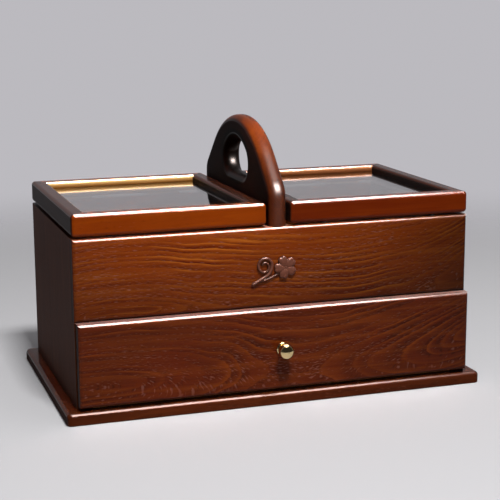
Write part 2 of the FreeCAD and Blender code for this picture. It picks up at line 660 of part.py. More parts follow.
# Handle board: below the box top it divides the compartments, and above it rises as
# a foot, a round shoulder, a straight flank and one wide arc over the finger hole
def make_handle_board():
    body = new_body("handle_board_blank")
    bind_place(body, (0, handle_y, 0))
    sketch = new_sketch(body, "YZ_Plane")
    foot = handle_half_depth
    crest = box_top + size.handle_height
    shoulder = box_top + size.shoulder_rise
    tongue_front = front_panel_back - size.handle_groove - handle_y
    tongue_back = back_panel_front + size.handle_groove - handle_y

    # The flank starts where the shoulder arc has turned to the slope, and the crest
    # arc touches both flanks
    slope = arctangent((size.handle_height - size.shoulder_rise) / foot) * size.flank_steepness
    across = sine(slope)
    along = cosine(slope)
    flank_foot_y = foot - size.shoulder_radius * (1 - across)
    flank_foot_z = shoulder + size.shoulder_radius * along
    crest_radius = (flank_foot_y * across + flank_foot_z * along - crest * along) / (1 - along)
    flank_top_y = crest_radius * across
    flank_top_z = crest - crest_radius * (1 - along)

    def corner(x, y):
        return Vector(float(x), float(y), 0)

    upward = Vector(0, 0, 1)
    lines = [
        (corner(tongue_back, box_top), corner(foot, box_top)),
        (corner(foot, box_top), corner(foot, shoulder)),
        (corner(-foot, shoulder), corner(-foot, box_top)),
        (corner(-foot, box_top), corner(tongue_front, box_top)),
        (corner(tongue_front, box_top), corner(tongue_front, floor_top)),
        (corner(tongue_front, floor_top), corner(tongue_back, floor_top)),
        (corner(tongue_back, floor_top), corner(tongue_back, box_top)),
        (corner(flank_foot_y, flank_foot_z), corner(flank_top_y, flank_top_z)),
        (corner(-flank_top_y, flank_top_z), corner(-flank_foot_y, flank_foot_z)),
    ]
    (back_step, back_foot, front_foot, front_step, front_tongue, lower_edge, back_tongue,
     back_flank, front_flank) = [
        sketch.addGeometry(Part.LineSegment(start, end), False) for start, end in lines]
    quarter = math.pi / 2
    turn = math.radians(float(slope))
    arcs = [
        (foot - size.shoulder_radius, shoulder, size.shoulder_radius, 0, quarter - turn),
        (size.shoulder_radius - foot, shoulder, size.shoulder_radius, quarter + turn, quarter * 2),
        (0, crest - crest_radius, crest_radius, quarter - turn, quarter + turn),
    ]
    back_shoulder, front_shoulder, crest_arc = [
        sketch.addGeometry(Part.ArcOfCircle(
            Part.Circle(corner(x, y), upward, float(radius)), start, end), False)
        for x, y, radius, start, end in arcs]

    start, end, middle = 1, 2, 3
    for first, second in ((back_step, back_foot), (front_foot, front_step), (front_step, front_tongue),
                          (front_tongue, lower_edge), (lower_edge, back_tongue), (back_tongue, back_step)):
        sketch.addConstraint(Sketcher.Constraint("Coincident", first, end, second, start))
    for first, first_end, second, second_end in (
            (back_foot, end, back_shoulder, start),
            (back_shoulder, end, back_flank, start),
            (back_flank, end, crest_arc, start),
            (crest_arc, end, front_flank, start),
            (front_flank, end, front_shoulder, start),
            (front_shoulder, end, front_foot, start)):
        sketch.addConstraint(Sketcher.Constraint("Tangent", first, first_end, second, second_end))
    pin_down(sketch, back_step, start, (tongue_back, box_top))
    pin_down(sketch, back_foot, start, (foot, box_top))
    pin_down(sketch, back_foot, end, (foot, shoulder))
    pin_down(sketch, front_foot, start, (-foot, shoulder))
    pin_down(sketch, front_foot, end, (-foot, box_top))
    pin_down(sketch, front_step, end, (tongue_front, box_top))
    pin_down(sketch, lower_edge, start, (tongue_front, floor_top))
    pin_down(sketch, lower_edge, end, (tongue_back, floor_top))
    for arc, radius in ((back_shoulder, size.shoulder_radius), (crest_arc, crest_radius)):
        index = sketch.addConstraint(Sketcher.Constraint("Radius", arc, float(radius)))
        bind(sketch, "Constraints[%d]" % index, radius)
    sketch.addConstraint(Sketcher.Constraint("Equal", back_shoulder, front_shoulder))
    sketch.addConstraint(Sketcher.Constraint("PointOnObject", crest_arc, middle, -2))
    rise = sketch.addConstraint(
        Sketcher.Constraint("DistanceY", -1, 1, back_flank, start, float(flank_foot_z)))
    bind(sketch, "Constraints[%d]" % rise, flank_foot_z)
    pad(body, sketch, size.handle_thickness, midplane=True)

    # The finger hole has a straight lower edge between two round corners, under one arch
    hole_sketch = new_sketch(body, "YZ_Plane")
    corner_radius = size.grip_corner_radius
    half_run = size.grip_hole_width / 2 - corner_radius
    height = size.grip_hole_height
    hole_top = crest - size.grip_thickness
    hole_bottom = hole_top - height
    arch_radius = (height + half_run * half_run / (height - corner_radius * 2)) / 2
    touch = math.atan2(float(arch_radius + corner_radius - height), float(half_run))
    sill = hole_sketch.addGeometry(
        Part.LineSegment(corner(-half_run, hole_bottom), corner(half_run, hole_bottom)), False)
    back_corner, arch, front_corner = [
        hole_sketch.addGeometry(Part.ArcOfCircle(
            Part.Circle(corner(x, y), upward, float(radius)), start_angle, end_angle), False)
        for x, y, radius, start_angle, end_angle in (
            (half_run, hole_bottom + corner_radius, corner_radius, -quarter, touch),
            (0, hole_top - arch_radius, arch_radius, touch, quarter * 2 - touch),
            (-half_run, hole_bottom + corner_radius, corner_radius, quarter * 2 - touch, quarter * 3))]
    for first, second in ((sill, back_corner), (back_corner, arch), (arch, front_corner), (front_corner, sill)):
        hole_sketch.addConstraint(Sketcher.Constraint("Tangent", first, end, second, start))
    pin_down(hole_sketch, sill, start, (-half_run, hole_bottom))
    pin_down(hole_sketch, sill, end, (half_run, hole_bottom))
    hole_sketch.addConstraint(Sketcher.Constraint("PointOnObject", arch, middle, -2))
    for arc, radius in ((back_corner, corner_radius), (arch, arch_radius)):
        index = hole_sketch.addConstraint(Sketcher.Constraint("Radius", arc, float(radius)))
        bind(hole_sketch, "Constraints[%d]" % index, radius)
    hole = body.newObject("PartDesign::Pocket", "finger_hole")
    hole.Profile = hole_sketch
    hole.Type = 1
    hole.Midplane = True
    half_board = size.handle_thickness / 2
    round_edges(body, size.handle_radius, lambda edge: (
        (lies_at(edge, "x", half_board) or lies_at(edge, "x", -half_board))
        and edge.BoundBox.ZMax > float(box_top) + 0.001))
    cut_holes("handle_board", body, [handle_screw_holes])


# Drawer stop under the compartment floor, which meets the drawer back at full travel
def make_drawer_stop():
    stop = doc.addObject("Part::Box", "drawer_stop")
    stop_back = drawer_back_front - drawer_travel - size.stop_clearance
    bind(stop, "Length", size.stop_width)
    bind(stop, "Width", size.stop_depth)
    bind(stop, "Height", size.drawer_top_clearance + size.stop_overlap)
    bind_place(stop, (-size.stop_width / 2, stop_back - size.stop_depth, drawer_top - size.stop_overlap))
    add_node("drawer_stop", stop)


# Fasteners of the drawer: pegs through the sides into the inner front and the back,
# two screws that hold the outer front, and the screw of the knob
drawer_peg = peg("peg", size.peg_diameter, size.peg_length)
peg_places = []
for side, outer in ((1, drawer_left), (-1, drawer_right)):
    for y in (drawer_face_back + size.drawer_wall / 2, drawer_rear - size.drawer_wall / 2):
        for share in peg_shares:
            z = drawer_foot + (drawer_top - drawer_foot) * share
            peg_places.append(lying(outer, y, z, (side, 0, 0)))
drawer_pegs = add_group("drawer_pegs", drawer_peg.Shape, peg_places)
front_screw_places = [
    aimed(drawer_right * side * drawer_screw_share, drawer_inner_back,
          (drawer_foot + drawer_top) / 2, forward)
    for side in (-1, 1)]
add_group("drawer_front_screws", front_screw.Shape, front_screw_places)
front_screw_holes = add_group("front_screw_holes", front_screw_blank.Shape, front_screw_places, is_node=False)


def make_knob_screw():
    """A screw with a domed head inside the drawer, along -Y to the knob."""
    body = new_body("knob_screw")
    toward_front = FreeCAD.Rotation(Vector(1, 0, 0), 90)
    shank_end = drawer_face - size.rose_thickness - size.knob_thread_depth
    head_radius = size.knob_screw_head / 2
    add_rod(body, "Additive", "knob_screw_shank", size.knob_screw_diameter / 2,
            (0, drawer_inner_back, knob_z), drawer_inner_back - shank_end, toward_front)
    head_end = drawer_inner_back + size.knob_screw_head_height
    add_rod(body, "Additive", "knob_screw_cap", head_radius,
            (0, head_end, knob_z), size.knob_screw_head_height, toward_front)
    round_edges(body, size.knob_screw_head_height / 2, lambda edge: lies_at(edge, "y", head_end))
    slot_depth = size.knob_screw_head_height / 2
    slot_half = size.knob_screw_head / 12
    add_block(body, "Subtractive", "knob_screw_slot",
              (-head_radius, head_end - slot_depth, knob_z - slot_half),
              (head_radius, head_end + 1, knob_z + slot_half))
    add_node("knob_screw", body)


make_knob_screw()


# Drawer front, laid over the box: the knob's screw goes through it
def make_drawer_front():
    body = new_body("drawer_front_blank")
    add_block(body, "Additive", "drawer_front_plank",
              (box_left + size.drawer_front_reveal, drawer_face, base_top + size.drawer_gap_below),
              (box_right - size.drawer_front_reveal, drawer_face_back, opening_top + size.drawer_lap_above))
    round_edges(body, size.drawer_front_radius, lambda edge: lies_at(edge, "y", drawer_face))
    add_rod(body, "Subtractive", "drawer_front_knob_hole", size.knob_screw_diameter / 2,
            (0, drawer_face_back + 1, knob_z), size.drawer_front_thickness + 2,
            FreeCAD.Rotation(Vector(1, 0, 0), 90))
    cut_holes("drawer_front", body, [front_screw_holes])


def make_drawer_cross_board(name, front_y, with_knob_hole):
    """The inner front or the back, between the drawer's sides."""
    body = new_body(name + "_blank")
    inner_face = front_y + size.drawer_wall
    add_block(body, "Additive", name + "_plank",
              (drawer_left + size.drawer_wall, front_y, drawer_foot),
              (drawer_right - size.drawer_wall, inner_face, drawer_top))
    groove_start = inner_face - size.drawer_groove if with_knob_hole else front_y
    add_block(body, "Subtractive", name + "_groove",
              (drawer_left, groove_start, bottom_low),
              (drawer_right, groove_start + size.drawer_groove, bottom_high))
    cutters = [drawer_pegs]
    if with_knob_hole:
        add_rod(body, "Subtractive", name + "_knob_hole", size.knob_screw_diameter / 2,
                (0, inner_face + 1, knob_z), size.drawer_wall + 2, FreeCAD.Rotation(Vector(1, 0, 0), 90))
        cutters.append(front_screw_holes)
    cut_holes(name, body, cutters)


def make_drawer_side(name, low_x, groove_low):
    body = new_body(name + "_blank")
    add_block(body, "Additive", name + "_plank",
              (low_x, drawer_face_back, drawer_foot), (low_x + size.drawer_wall, drawer_rear, drawer_top))
    groove_inset = size.drawer_wall - size.drawer_groove
    add_block(body, "Subtractive", name + "_groove",
              (groove_low, drawer_face_back + groove_inset, bottom_low),
              (groove_low + size.drawer_groove, drawer_rear - groove_inset, bottom_high))
    cut_holes(name, body, [drawer_pegs])


def make_drawer_bottom():
    panel = doc.addObject("Part::Box", "drawer_bottom")
    inset = size.drawer_wall - size.drawer_groove
    low = (drawer_left + inset, drawer_face_back + inset, bottom_low)
    high = (drawer_right - inset, drawer_rear - inset, bottom_high)
    for prop, start, end in zip(("Length", "Width", "Height"), low, high):
        bind(panel, prop, end - start)
    bind_place(panel, low)
    add_node("drawer_bottom", panel)


# Knob and rose, turned about the line through the middle of the drawer front
def make_knob():
    """A ball flattened a little from front to back on a short neck."""
    body = new_body("knob")
    bind_place(body, (0, drawer_face - size.rose_thickness, knob_z))
    sketch = new_sketch(body, "YZ_Plane")
    neck_radius = float(size.knob_neck_diameter) / 2
    neck_length = float(size.knob_neck_length)
    hole_radius = float(size.knob_screw_diameter) / 2
    hole_depth = float(size.knob_thread_depth)
    side_radius = float(size.knob_side_radius)
    # The side arc starts at the neck, and the front arc goes on from it at 45 degrees
    side_middle_z = size.knob_diameter / 2 - size.knob_side_radius
    front_radius = size.knob_side_radius + side_middle_z * math.sqrt(2)
    offset = float(side_middle_z)
    rise = neck_radius - offset
    side_middle_y = -neck_length - math.sqrt(side_radius ** 2 - rise ** 2)
    front_middle_y = side_middle_y + offset
    front_end = front_middle_y - float(front_radius)
    upward = Vector(0, 0, 1)
    side_start = math.atan2(rise, -neck_length - side_middle_y)
    joint = math.pi * 3 / 4
    neck_point = Vector(-neck_length, neck_radius, 0)
    corners = [Vector(front_end, 0, 0), Vector(-hole_depth, 0, 0), Vector(-hole_depth, hole_radius, 0),
               Vector(0, hole_radius, 0), Vector(0, neck_radius, 0), neck_point]
    lines = [sketch.addGeometry(Part.LineSegment(a, b), False) for a, b in zip(corners, corners[1:])]
    side_arc = sketch.addGeometry(Part.ArcOfCircle(
        Part.Circle(Vector(side_middle_y, offset, 0), upward, side_radius), side_start, joint), False)
    front_arc = sketch.addGeometry(Part.ArcOfCircle(
        Part.Circle(Vector(front_middle_y, 0, 0), upward, float(front_radius)), joint, math.pi), False)
    start, end, middle = 1, 2, 3
    for first, second in zip(lines, lines[1:]):
        sketch.addConstraint(Sketcher.Constraint("Coincident", first, end, second, start))
    sketch.addConstraint(Sketcher.Constraint("Coincident", lines[-1], end, side_arc, start))
    sketch.addConstraint(Sketcher.Constraint("Tangent", side_arc, end, front_arc, start))
    sketch.addConstraint(Sketcher.Constraint("Coincident", front_arc, end, lines[0], start))
    sketch.addConstraint(Sketcher.Constraint("PointOnObject", front_arc, middle, -1))
    sketch.addConstraint(Sketcher.Constraint("PointOnObject", lines[0], start, -1))
    pin_down(sketch, lines[1], start, (-size.knob_thread_depth, 0))
    pin_down(sketch, lines[2], start, (-size.knob_thread_depth, size.knob_screw_diameter / 2))
    pin_down(sketch, lines[3], start, (0, size.knob_screw_diameter / 2))
    pin_down(sketch, lines[4], start, (0, size.knob_neck_diameter / 2))
    pin_down(sketch, lines[4], end, (-size.knob_neck_length, size.knob_neck_diameter / 2))
    for arc, radius in ((side_arc, size.knob_side_radius), (front_arc, front_radius)):
        index = sketch.addConstraint(Sketcher.Constraint("Radius", arc, float(radius)))
        bind(sketch, "Constraints[%d]" % index, radius)
    height = sketch.addConstraint(Sketcher.Constraint("DistanceY", -1, 1, side_arc, middle, offset))
    bind(sketch, "Constraints[%d]" % height, side_middle_z)
    turned = body.newObject("PartDesign::Revolution", "knob_turned")
    turned.Profile = sketch
    turned.ReferenceAxis = (sketch, ["H_Axis"])
    turned.Angle = 360
    add_node("knob", body)


def make_knob_rose():
    """A small domed disc with a hole for the screw."""
    body = new_body("knob_rose")
    toward_front = FreeCAD.Rotation(Vector(1, 0, 0), 90)
    add_rod(body, "Additive", "rose_disc", size.rose_diameter / 2, (0, drawer_face, knob_z),
            size.rose_thickness, toward_front)
    add_rod(body, "Subtractive", "rose_hole", size.knob_screw_diameter / 2, (0, drawer_face + 1, knob_z),
            size.rose_thickness + 2, toward_front)
    rim = drawer_face - size.rose_thickness
    round_edges(body, size.rose_thickness * 0.7, lambda edge: (
        lies_at(edge, "y", rim) and edge.BoundBox.XMax > float(size.knob_screw_diameter)))
    add_node("knob_rose", body)


# Lids: four mitred rails with a rebate in their underside, a pane in the rebate, and four
# mitred beads that hold the pane from below
def make_strip(name, length, width, height, corner, angle):
    """A strip with 45-degree mitres, drawn along X with its outer edge at Y = 0."""
    body = new_body(name)
    body.Placement = FreeCAD.Placement(Vector(0, 0, 0), FreeCAD.Rotation(Vector(0, 0, 1), angle))
    bind_place(body, corner)
    sketch = new_sketch(body, "XY_Plane")
    draw_polygon(sketch, [(0, 0), (length, 0), (length - width, width), (width, width)])
    pad(body, sketch, height)
    return body


def make_rail(name, length, corner, angle, lid_block):
    body = make_strip(name + "_blank", length, size.rail_width, size.lid_thickness, corner, angle)
    add_block(body, "Subtractive", name + "_rebate",
              (0, size.rail_width - size.rebate_width, -1),
              (length, size.rail_width + 1, size.lid_thickness - size.lip_thickness))
    round_edges(body, size.rail_inner_radius, lambda edge: (
        lies_at(edge, "y", size.rail_width) and lies_at(edge, "z", size.lid_thickness)))
    rail = doc.addObject("Part::Common", name + "_shaped")
    rail.Base = body
    rail.Tool = lid_block
    return rail


def make_lid(side):
    low_x, high_x = lids[side]
    width = high_x - low_x
    lid_top = lid_bottom + size.lid_thickness
    lid_block = new_body(side + "_lid_outline")
    add_block(lid_block, "Additive", side + "_lid_block",
              (low_x, box_front, lid_bottom), (high_x, box_back, lid_top))
    round_edges(lid_block, size.lid_radius, lambda edge: True)

    screw_places = leaf_screw_places(hinge_middles(side), leaf_screw_y, lid_leaf_bottom, up)
    add_group(side + "_hinge_lid_screws", small_screw.Shape, screw_places)
    holes = add_group(side + "_hinge_lid_screw_holes", small_blank.Shape, screw_places, is_node=False)

    left_name, right_name = ("outer", "inner") if side == "left" else ("inner", "outer")
    runs = [
        ("front", width, (low_x, box_front), 0),
        (right_name, size.box_depth, (high_x, box_front), 90),
        ("back", width, (high_x, box_back), 180),
        (left_name, size.box_depth, (low_x, box_back), 270),
    ]
    inset = size.rail_width - size.rebate_width
    bead_bottom = glass_bottom - size.bead_height
    inward = {0: (inset, inset), 90: (-inset, inset), 180: (-inset, -inset), 270: (inset, -inset)}
    for place_name, length, (x, y), angle in runs:
        rail_name = "%s_lid_%s_rail" % (side, place_name)
        rail = make_rail(rail_name, length, (x, y, lid_bottom), angle, lid_block)
        if place_name == "back":
            cut_holes(rail_name, rail, [holes])
        else:
            add_node(rail_name, rail)
        shift_x, shift_y = inward[angle]
        bead_name = "%s_lid_%s_bead" % (side, place_name)
        bead = make_strip(bead_name, length - inset * 2, size.bead_width, size.bead_height,
                          (x + shift_x, y + shift_y, bead_bottom), angle)
        round_edges(bead, size.bead_radius, lambda edge: (
            lies_at(edge, "z", 0) and lies_at(edge, "y", size.bead_width)))
        add_node(bead_name, bead)

    pane = doc.addObject("Part::Box", side + "_lid_glass")
    edge_x = inset + size.glass_clearance
    bind(pane, "Length", width - edge_x * 2)
    bind(pane, "Width", size.box_depth - edge_x * 2)
    bind(pane, "Height", size.glass_thickness)
    bind_place(pane, (low_x + edge_x, box_front + edge_x, glass_bottom))
    add_node(side + "_lid_glass", pane)

    pad_shape = peg(side + "_bumper", size.bumper_diameter, lid_gap - size.bumper_gap)
    bumper_y = box_front + size.panel_radius + size.bumper_diameter / 2
    add_group(side + "_lid_bumpers", pad_shape.Shape, [
        lying(x, bumper_y, box_top + size.bumper_gap, up)
        for x in (low_x + size.bumper_inset, high_x - size.bumper_inset)])


# Emblem on the upper front panel: a blossom of five petals on a stem, with a curled
# tendril. Its own origin is the middle of the blossom, on the panel's front
def follow(start, degrees, runs):
    """Edges of a path in X and Z that starts at a slope and has no kinks.

    Each run is a straight length, or a turn to the left in degrees and its radius.
    """
    edges = []
    for run in runs:
        angle = math.radians(degrees)
        if len(run) == 1:
            end = start + Vector(math.cos(angle), 0, math.sin(angle)) * run[0]
            edges.append(Part.LineSegment(start, end).toShape())
        else:
            turn, radius = run
            centre = start + Vector(-math.sin(angle), 0, math.cos(angle)) * radius

            def on_arc(share):
                here = angle + math.radians(turn) * share
                return centre + Vector(math.sin(here), 0, -math.cos(here)) * radius

            end = on_arc(1)
            edges.append(Part.Arc(start, on_arc(0.5), end).toShape())
            degrees += turn
        start = end
    return edges


def tube_along(edges, diameter):
    """A round tube, a little sunk into the panel's front."""
    radius = float(diameter) / 2
    sunk_share = 0.15
    first = edges[0]
    ring = Part.makeCircle(radius, first.valueAt(first.FirstParameter), first.tangentAt(first.FirstParameter))
    tube = Part.Wire(edges).makePipeShell([Part.Wire([ring])], True, False)
    tube.translate(Vector(0, float(diameter) * sunk_share - radius, 0))
    return tube


def make_petal():
    """A petal with a notched tip that points up from the middle of the blossom.

    Its points are shares of its half width and of its length.
    """
    half_width = float(size.petal_width) / 2
    length = float(size.petal_length)

    def point(across, along):
        return Vector(across * half_width, 0, along * length)

    foot = point(0, 0.02)
    notch = point(0, 0.88)
    edges = []
    for side in (1, -1):
        tip = point(side, 0.64)
        edges.append(Part.Arc(foot, point(side * 0.62, 0.28), tip).toShape())
        edges.append(Part.Arc(tip, point(side * 0.62, 0.97), notch).toShape())
    right_lower, right_upper, left_lower, left_upper = edges
    outline = Part.Wire([right_lower, right_upper, left_upper, left_lower])
    return Part.Face(outline).extrude(Vector(0, -float(size.petal_thickness), 0))


def make_emblem():
    front = -float(size.petal_thickness)
    petal = make_petal()
    eye_radius = float(size.blossom_eye_diameter) / 2
    eye_height = float(size.petal_thickness + size.blossom_eye_rise)
    toward_front = Vector(0, -1, 0)
    blossom = Part.makeCylinder(eye_radius, -front, Vector(), toward_front)
    for number in range(5):
        turned = petal.copy()
        turned.rotate(Vector(), Vector(0, 1, 0), 72 * number - float(size.petal_turn))
        blossom = blossom.fuse(turned)
    blossom = blossom.removeSplitter()
    rim = [edge for edge in blossom.Edges if lies_at(edge, "y", front)]
    blossom = blossom.makeFillet(float(size.petal_edge_radius), rim)
    eye = Part.makeCylinder(eye_radius, eye_height, Vector(), toward_front)
    eye_rim = [edge for edge in eye.Edges if lies_at(edge, "y", -eye_height)]
    eye = eye.makeFillet(float(size.blossom_eye_rise) * 0.8, eye_rim)

    # The tendril rises from its tip at the lower left and curls in on itself
    tip = Vector(-float(size.tendril_tip_left), 0, -float(size.tendril_tip_drop))
    slope = float(size.tendril_slope)
    tail = float(size.tendril_tail)
    ring = float(size.curl_radius)
    step = float(size.curl_step)
    tendril = tube_along(follow(tip, slope, [
        (tail,),
        (90 - slope, float(size.tendril_bend_radius)),
        (float(size.curl_turn), ring),
        (180, ring - step),
        (180, ring - step * 2)]), size.tendril_diameter)
    angle = math.radians(slope)
    stem_start = tip + Vector(math.cos(angle), 0, math.sin(angle)) * tail / 4
    stem_end = Vector(-float(size.stem_end_left), 0, -float(size.stem_end_drop))
    stem_middle = (stem_start + stem_end) / 2 - Vector(0, 0, float(size.stem_sag))
    stem = Part.Arc(stem_start, stem_middle, stem_end)
    twig = tube_along([stem.toShape()], size.stem_diameter)

    whole = blossom.fuse([eye, tendril, twig])
    reach = float(size.box_width)
    behind = Part.makeBox(reach, reach, reach, Vector(-reach / 2, 0, -reach / 2))
    emblem = doc.addObject("Part::Feature", "blossom_emblem")
    emblem.Shape = whole.cut(behind).removeSplitter()
    bind_place(emblem, (size.blossom_offset, box_front, base_top + size.blossom_rise))
    add_node("blossom_emblem", emblem)


make_base_board()
make_side_panel("left_side_panel", box_left, box_left, inner_left - size.floor_groove, inner_left)
make_side_panel("right_side_panel", inner_right, box_right, inner_right, inner_right + size.floor_groove)
make_upper_front_panel()
make_back_panel()
make_compartment_floor()
make_handle_board()
make_drawer_stop()
make_drawer_front()
make_drawer_cross_board("drawer_inner_front", drawer_face_back, True)
make_drawer_cross_board("drawer_back", drawer_back_front, False)
make_drawer_side("drawer_left_side", drawer_left, drawer_left + size.drawer_wall - size.drawer_groove)
make_drawer_side("drawer_right_side", drawer_right - size.drawer_wall, drawer_right - size.drawer_wall)
make_drawer_bottom()
make_knob()
make_knob_rose()
for side in lids:
    make_lid(side)
make_emblem()
doc.recompute()

# Nothing is written unless every object is up to date and every sub-part is sound
for thing in doc.Objects:
    if "Invalid" in thing.State or "Error" in thing.State:
        raise RuntimeError("%s failed: %s" % (thing.Label, thing.State))
for name, thing in nodes.items():
    shape = thing.Shape
    if shape.isNull() or not shape.isValid() or not shape.Solids:
        raise RuntimeError("%s has no sound solid" % name)

os.makedirs("parts", exist_ok=True)
for name, thing in nodes.items():
    thing.Shape.exportStep("parts/%s.step" % name)
print("%d sub-parts, %d solids" % (len(nodes), sum(len(thing.Shape.Solids) for thing in nodes.values())))
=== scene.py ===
import math

import bmesh
import bpy
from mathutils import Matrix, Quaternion, Vector


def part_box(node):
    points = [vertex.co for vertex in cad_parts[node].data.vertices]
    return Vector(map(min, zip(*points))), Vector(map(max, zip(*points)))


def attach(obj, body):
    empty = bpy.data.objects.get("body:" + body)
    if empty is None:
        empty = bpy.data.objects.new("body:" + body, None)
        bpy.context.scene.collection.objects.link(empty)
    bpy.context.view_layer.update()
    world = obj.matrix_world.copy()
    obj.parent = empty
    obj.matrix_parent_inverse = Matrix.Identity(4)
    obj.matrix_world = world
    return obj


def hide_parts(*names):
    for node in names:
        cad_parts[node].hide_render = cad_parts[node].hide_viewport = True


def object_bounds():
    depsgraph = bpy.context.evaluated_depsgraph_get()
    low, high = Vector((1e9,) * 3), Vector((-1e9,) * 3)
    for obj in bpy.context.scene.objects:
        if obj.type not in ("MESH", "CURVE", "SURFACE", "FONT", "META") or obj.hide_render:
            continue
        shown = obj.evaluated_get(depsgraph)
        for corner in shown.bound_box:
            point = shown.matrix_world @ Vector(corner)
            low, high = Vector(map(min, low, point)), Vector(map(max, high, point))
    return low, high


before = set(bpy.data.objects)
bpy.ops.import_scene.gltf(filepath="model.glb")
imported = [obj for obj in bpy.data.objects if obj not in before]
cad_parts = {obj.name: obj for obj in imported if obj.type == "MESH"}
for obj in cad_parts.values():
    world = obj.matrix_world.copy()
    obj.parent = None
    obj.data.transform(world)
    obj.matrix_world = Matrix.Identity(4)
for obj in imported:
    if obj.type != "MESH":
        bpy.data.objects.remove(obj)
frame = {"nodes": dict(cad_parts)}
cadLow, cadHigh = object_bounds()
cadNodes = frame["nodes"]
print("frame loaded,", len(cadNodes), "pieces")


# Camera: where the photograph was taken from
cameraLook = {
    "place": (-0.3472, -1.0653, 0.3368),
    "yaw": 18.301,          # degrees, turned from +Y towards +X
    "pitch": 11.594,        # degrees, looking down
    "roll": -0.297,
    "lens": 96.0,
}


def makeCamera(look):
    yaw = math.radians(look["yaw"])
    pitch = math.radians(look["pitch"])
    ahead = Vector((math.sin(yaw) * math.cos(pitch), math.cos(yaw) * math.cos(pitch), -math.sin(pitch)))
    camera = bpy.data.objects.new("camera", bpy.data.cameras.new("camera"))
    bpy.context.scene.collection.objects.link(camera)
    camera.location = look["place"]
    camera.rotation_mode = "QUATERNION"
    camera.rotation_quaternion = (ahead.to_track_quat("-Z", "Y")
                                  @ Quaternion((0, 0, 1), math.radians(look["roll"])))
    camera.data.sensor_width = 36.0
    camera.data.lens = look["lens"]
    camera.data.clip_start = 0.05
    camera.data.clip_end = 50.0
    bpy.context.scene.camera = camera


makeCamera(cameraLook)
bpy.context.scene.view_settings.view_transform = "Standard"
print("camera placed")


# Small helpers for materials
def feed(tree, socket, value):
    if isinstance(value, bpy.types.NodeSocket):
        tree.links.new(value, socket)
    elif isinstance(value, (tuple, list)) and len(value) == 3 and len(socket.default_value) == 4:
        socket.default_value = (*value, 1.0)
    else:
        socket.default_value = value


def addMath(tree, operation, first, second=0.0, third=0.0, clamp=False):
    node = tree.nodes.new("ShaderNodeMath")
    node.operation = operation
    node.use_clamp = clamp
    for socket, value in zip(node.inputs, (first, second, third)):
        feed(tree, socket, value)
    return node.outputs[0]


def addMost(tree, first, *others):    # the highest of some values
    most = first
    for other in others:
        most = addMath(tree, "MAXIMUM", most, other)
    return most


def addVector(tree, x, y, z):
    node = tree.nodes.new("ShaderNodeCombineXYZ")
    for socket, value in zip(node.inputs, (x, y, z)):
        feed(tree, socket, value)
    return node.outputs[0]


def splitParts(tree, output):    # x, y and z of a place ("Object") or of a direction
    split = tree.nodes.new("ShaderNodeSeparateXYZ")
    tree.links.new(tree.nodes.new("ShaderNodeTexCoord").outputs[output], split.inputs[0])
    return split.outputs


def addNoise(tree, vector, scale=1.0, detail=2.0, roughness=0.5, distortion=0.0):
    node = tree.nodes.new("ShaderNodeTexNoise")
    feed(tree, node.inputs["Vector"], vector)
    node.inputs["Scale"].default_value = scale
    node.inputs["Detail"].default_value = detail
    node.inputs["Roughness"].default_value = roughness
    node.inputs["Distortion"].default_value = distortion
    return node.outputs["Fac"]


def addRange(tree, value, low, high, toLow=0.0, toHigh=1.0, smooth=True):
    node = tree.nodes.new("ShaderNodeMapRange")
    node.interpolation_type = "SMOOTHSTEP" if smooth else "LINEAR"
    for socket, number in zip(node.inputs, (value, low, high, toLow, toHigh)):
        feed(tree, socket, number)
    return node.outputs[0]


def addMix(tree, share, first, second, blend="MIX"):
    node = tree.nodes.new("ShaderNodeMix")
    node.data_type = "RGBA"
    node.blend_type = blend
    feed(tree, node.inputs[0], share)
    feed(tree, node.inputs[6], first)
    feed(tree, node.inputs[7], second)
    return node.outputs[2]


def addRamp(tree, value, stops):
    node = tree.nodes.new("ShaderNodeValToRGB")
    ramp = node.color_ramp
    while len(ramp.elements) > 1:
        ramp.elements.remove(ramp.elements[-1])
    for number, (position, colour) in enumerate(stops):
        element = ramp.elements[0] if number == 0 else ramp.elements.new(position)
        element.position = position
        element.color = (*colour, 1.0)
    feed(tree, node.inputs[0], value)
    return node.outputs[0]


def newMaterial(name):
    material = bpy.data.materials.new(name)
    material.use_nodes = True
    shader = material.node_tree.nodes["Principled BSDF"]
    return material, material.node_tree, shader


def tone(*shades):    # a colour as a screen shows it, each part from 0 to 255
    return tuple(((shade / 255 + 0.055) / 1.055) ** 2.4 if shade > 10 else shade / 255 / 12.92
                 for shade in shades)


def addCurve(tree, value, points):
    node = tree.nodes.new("ShaderNodeFloatCurve")
    curve = node.mapping.curves[0]
    while len(curve.points) < len(points):
        curve.points.new(0.5, 0.5)
    for point, (x, y) in zip(curve.points, points):
        point.location = (x, y)
        point.handle_type = "AUTO"
    node.mapping.update()
    feed(tree, node.inputs["Value"], value)
    return node.outputs[0]


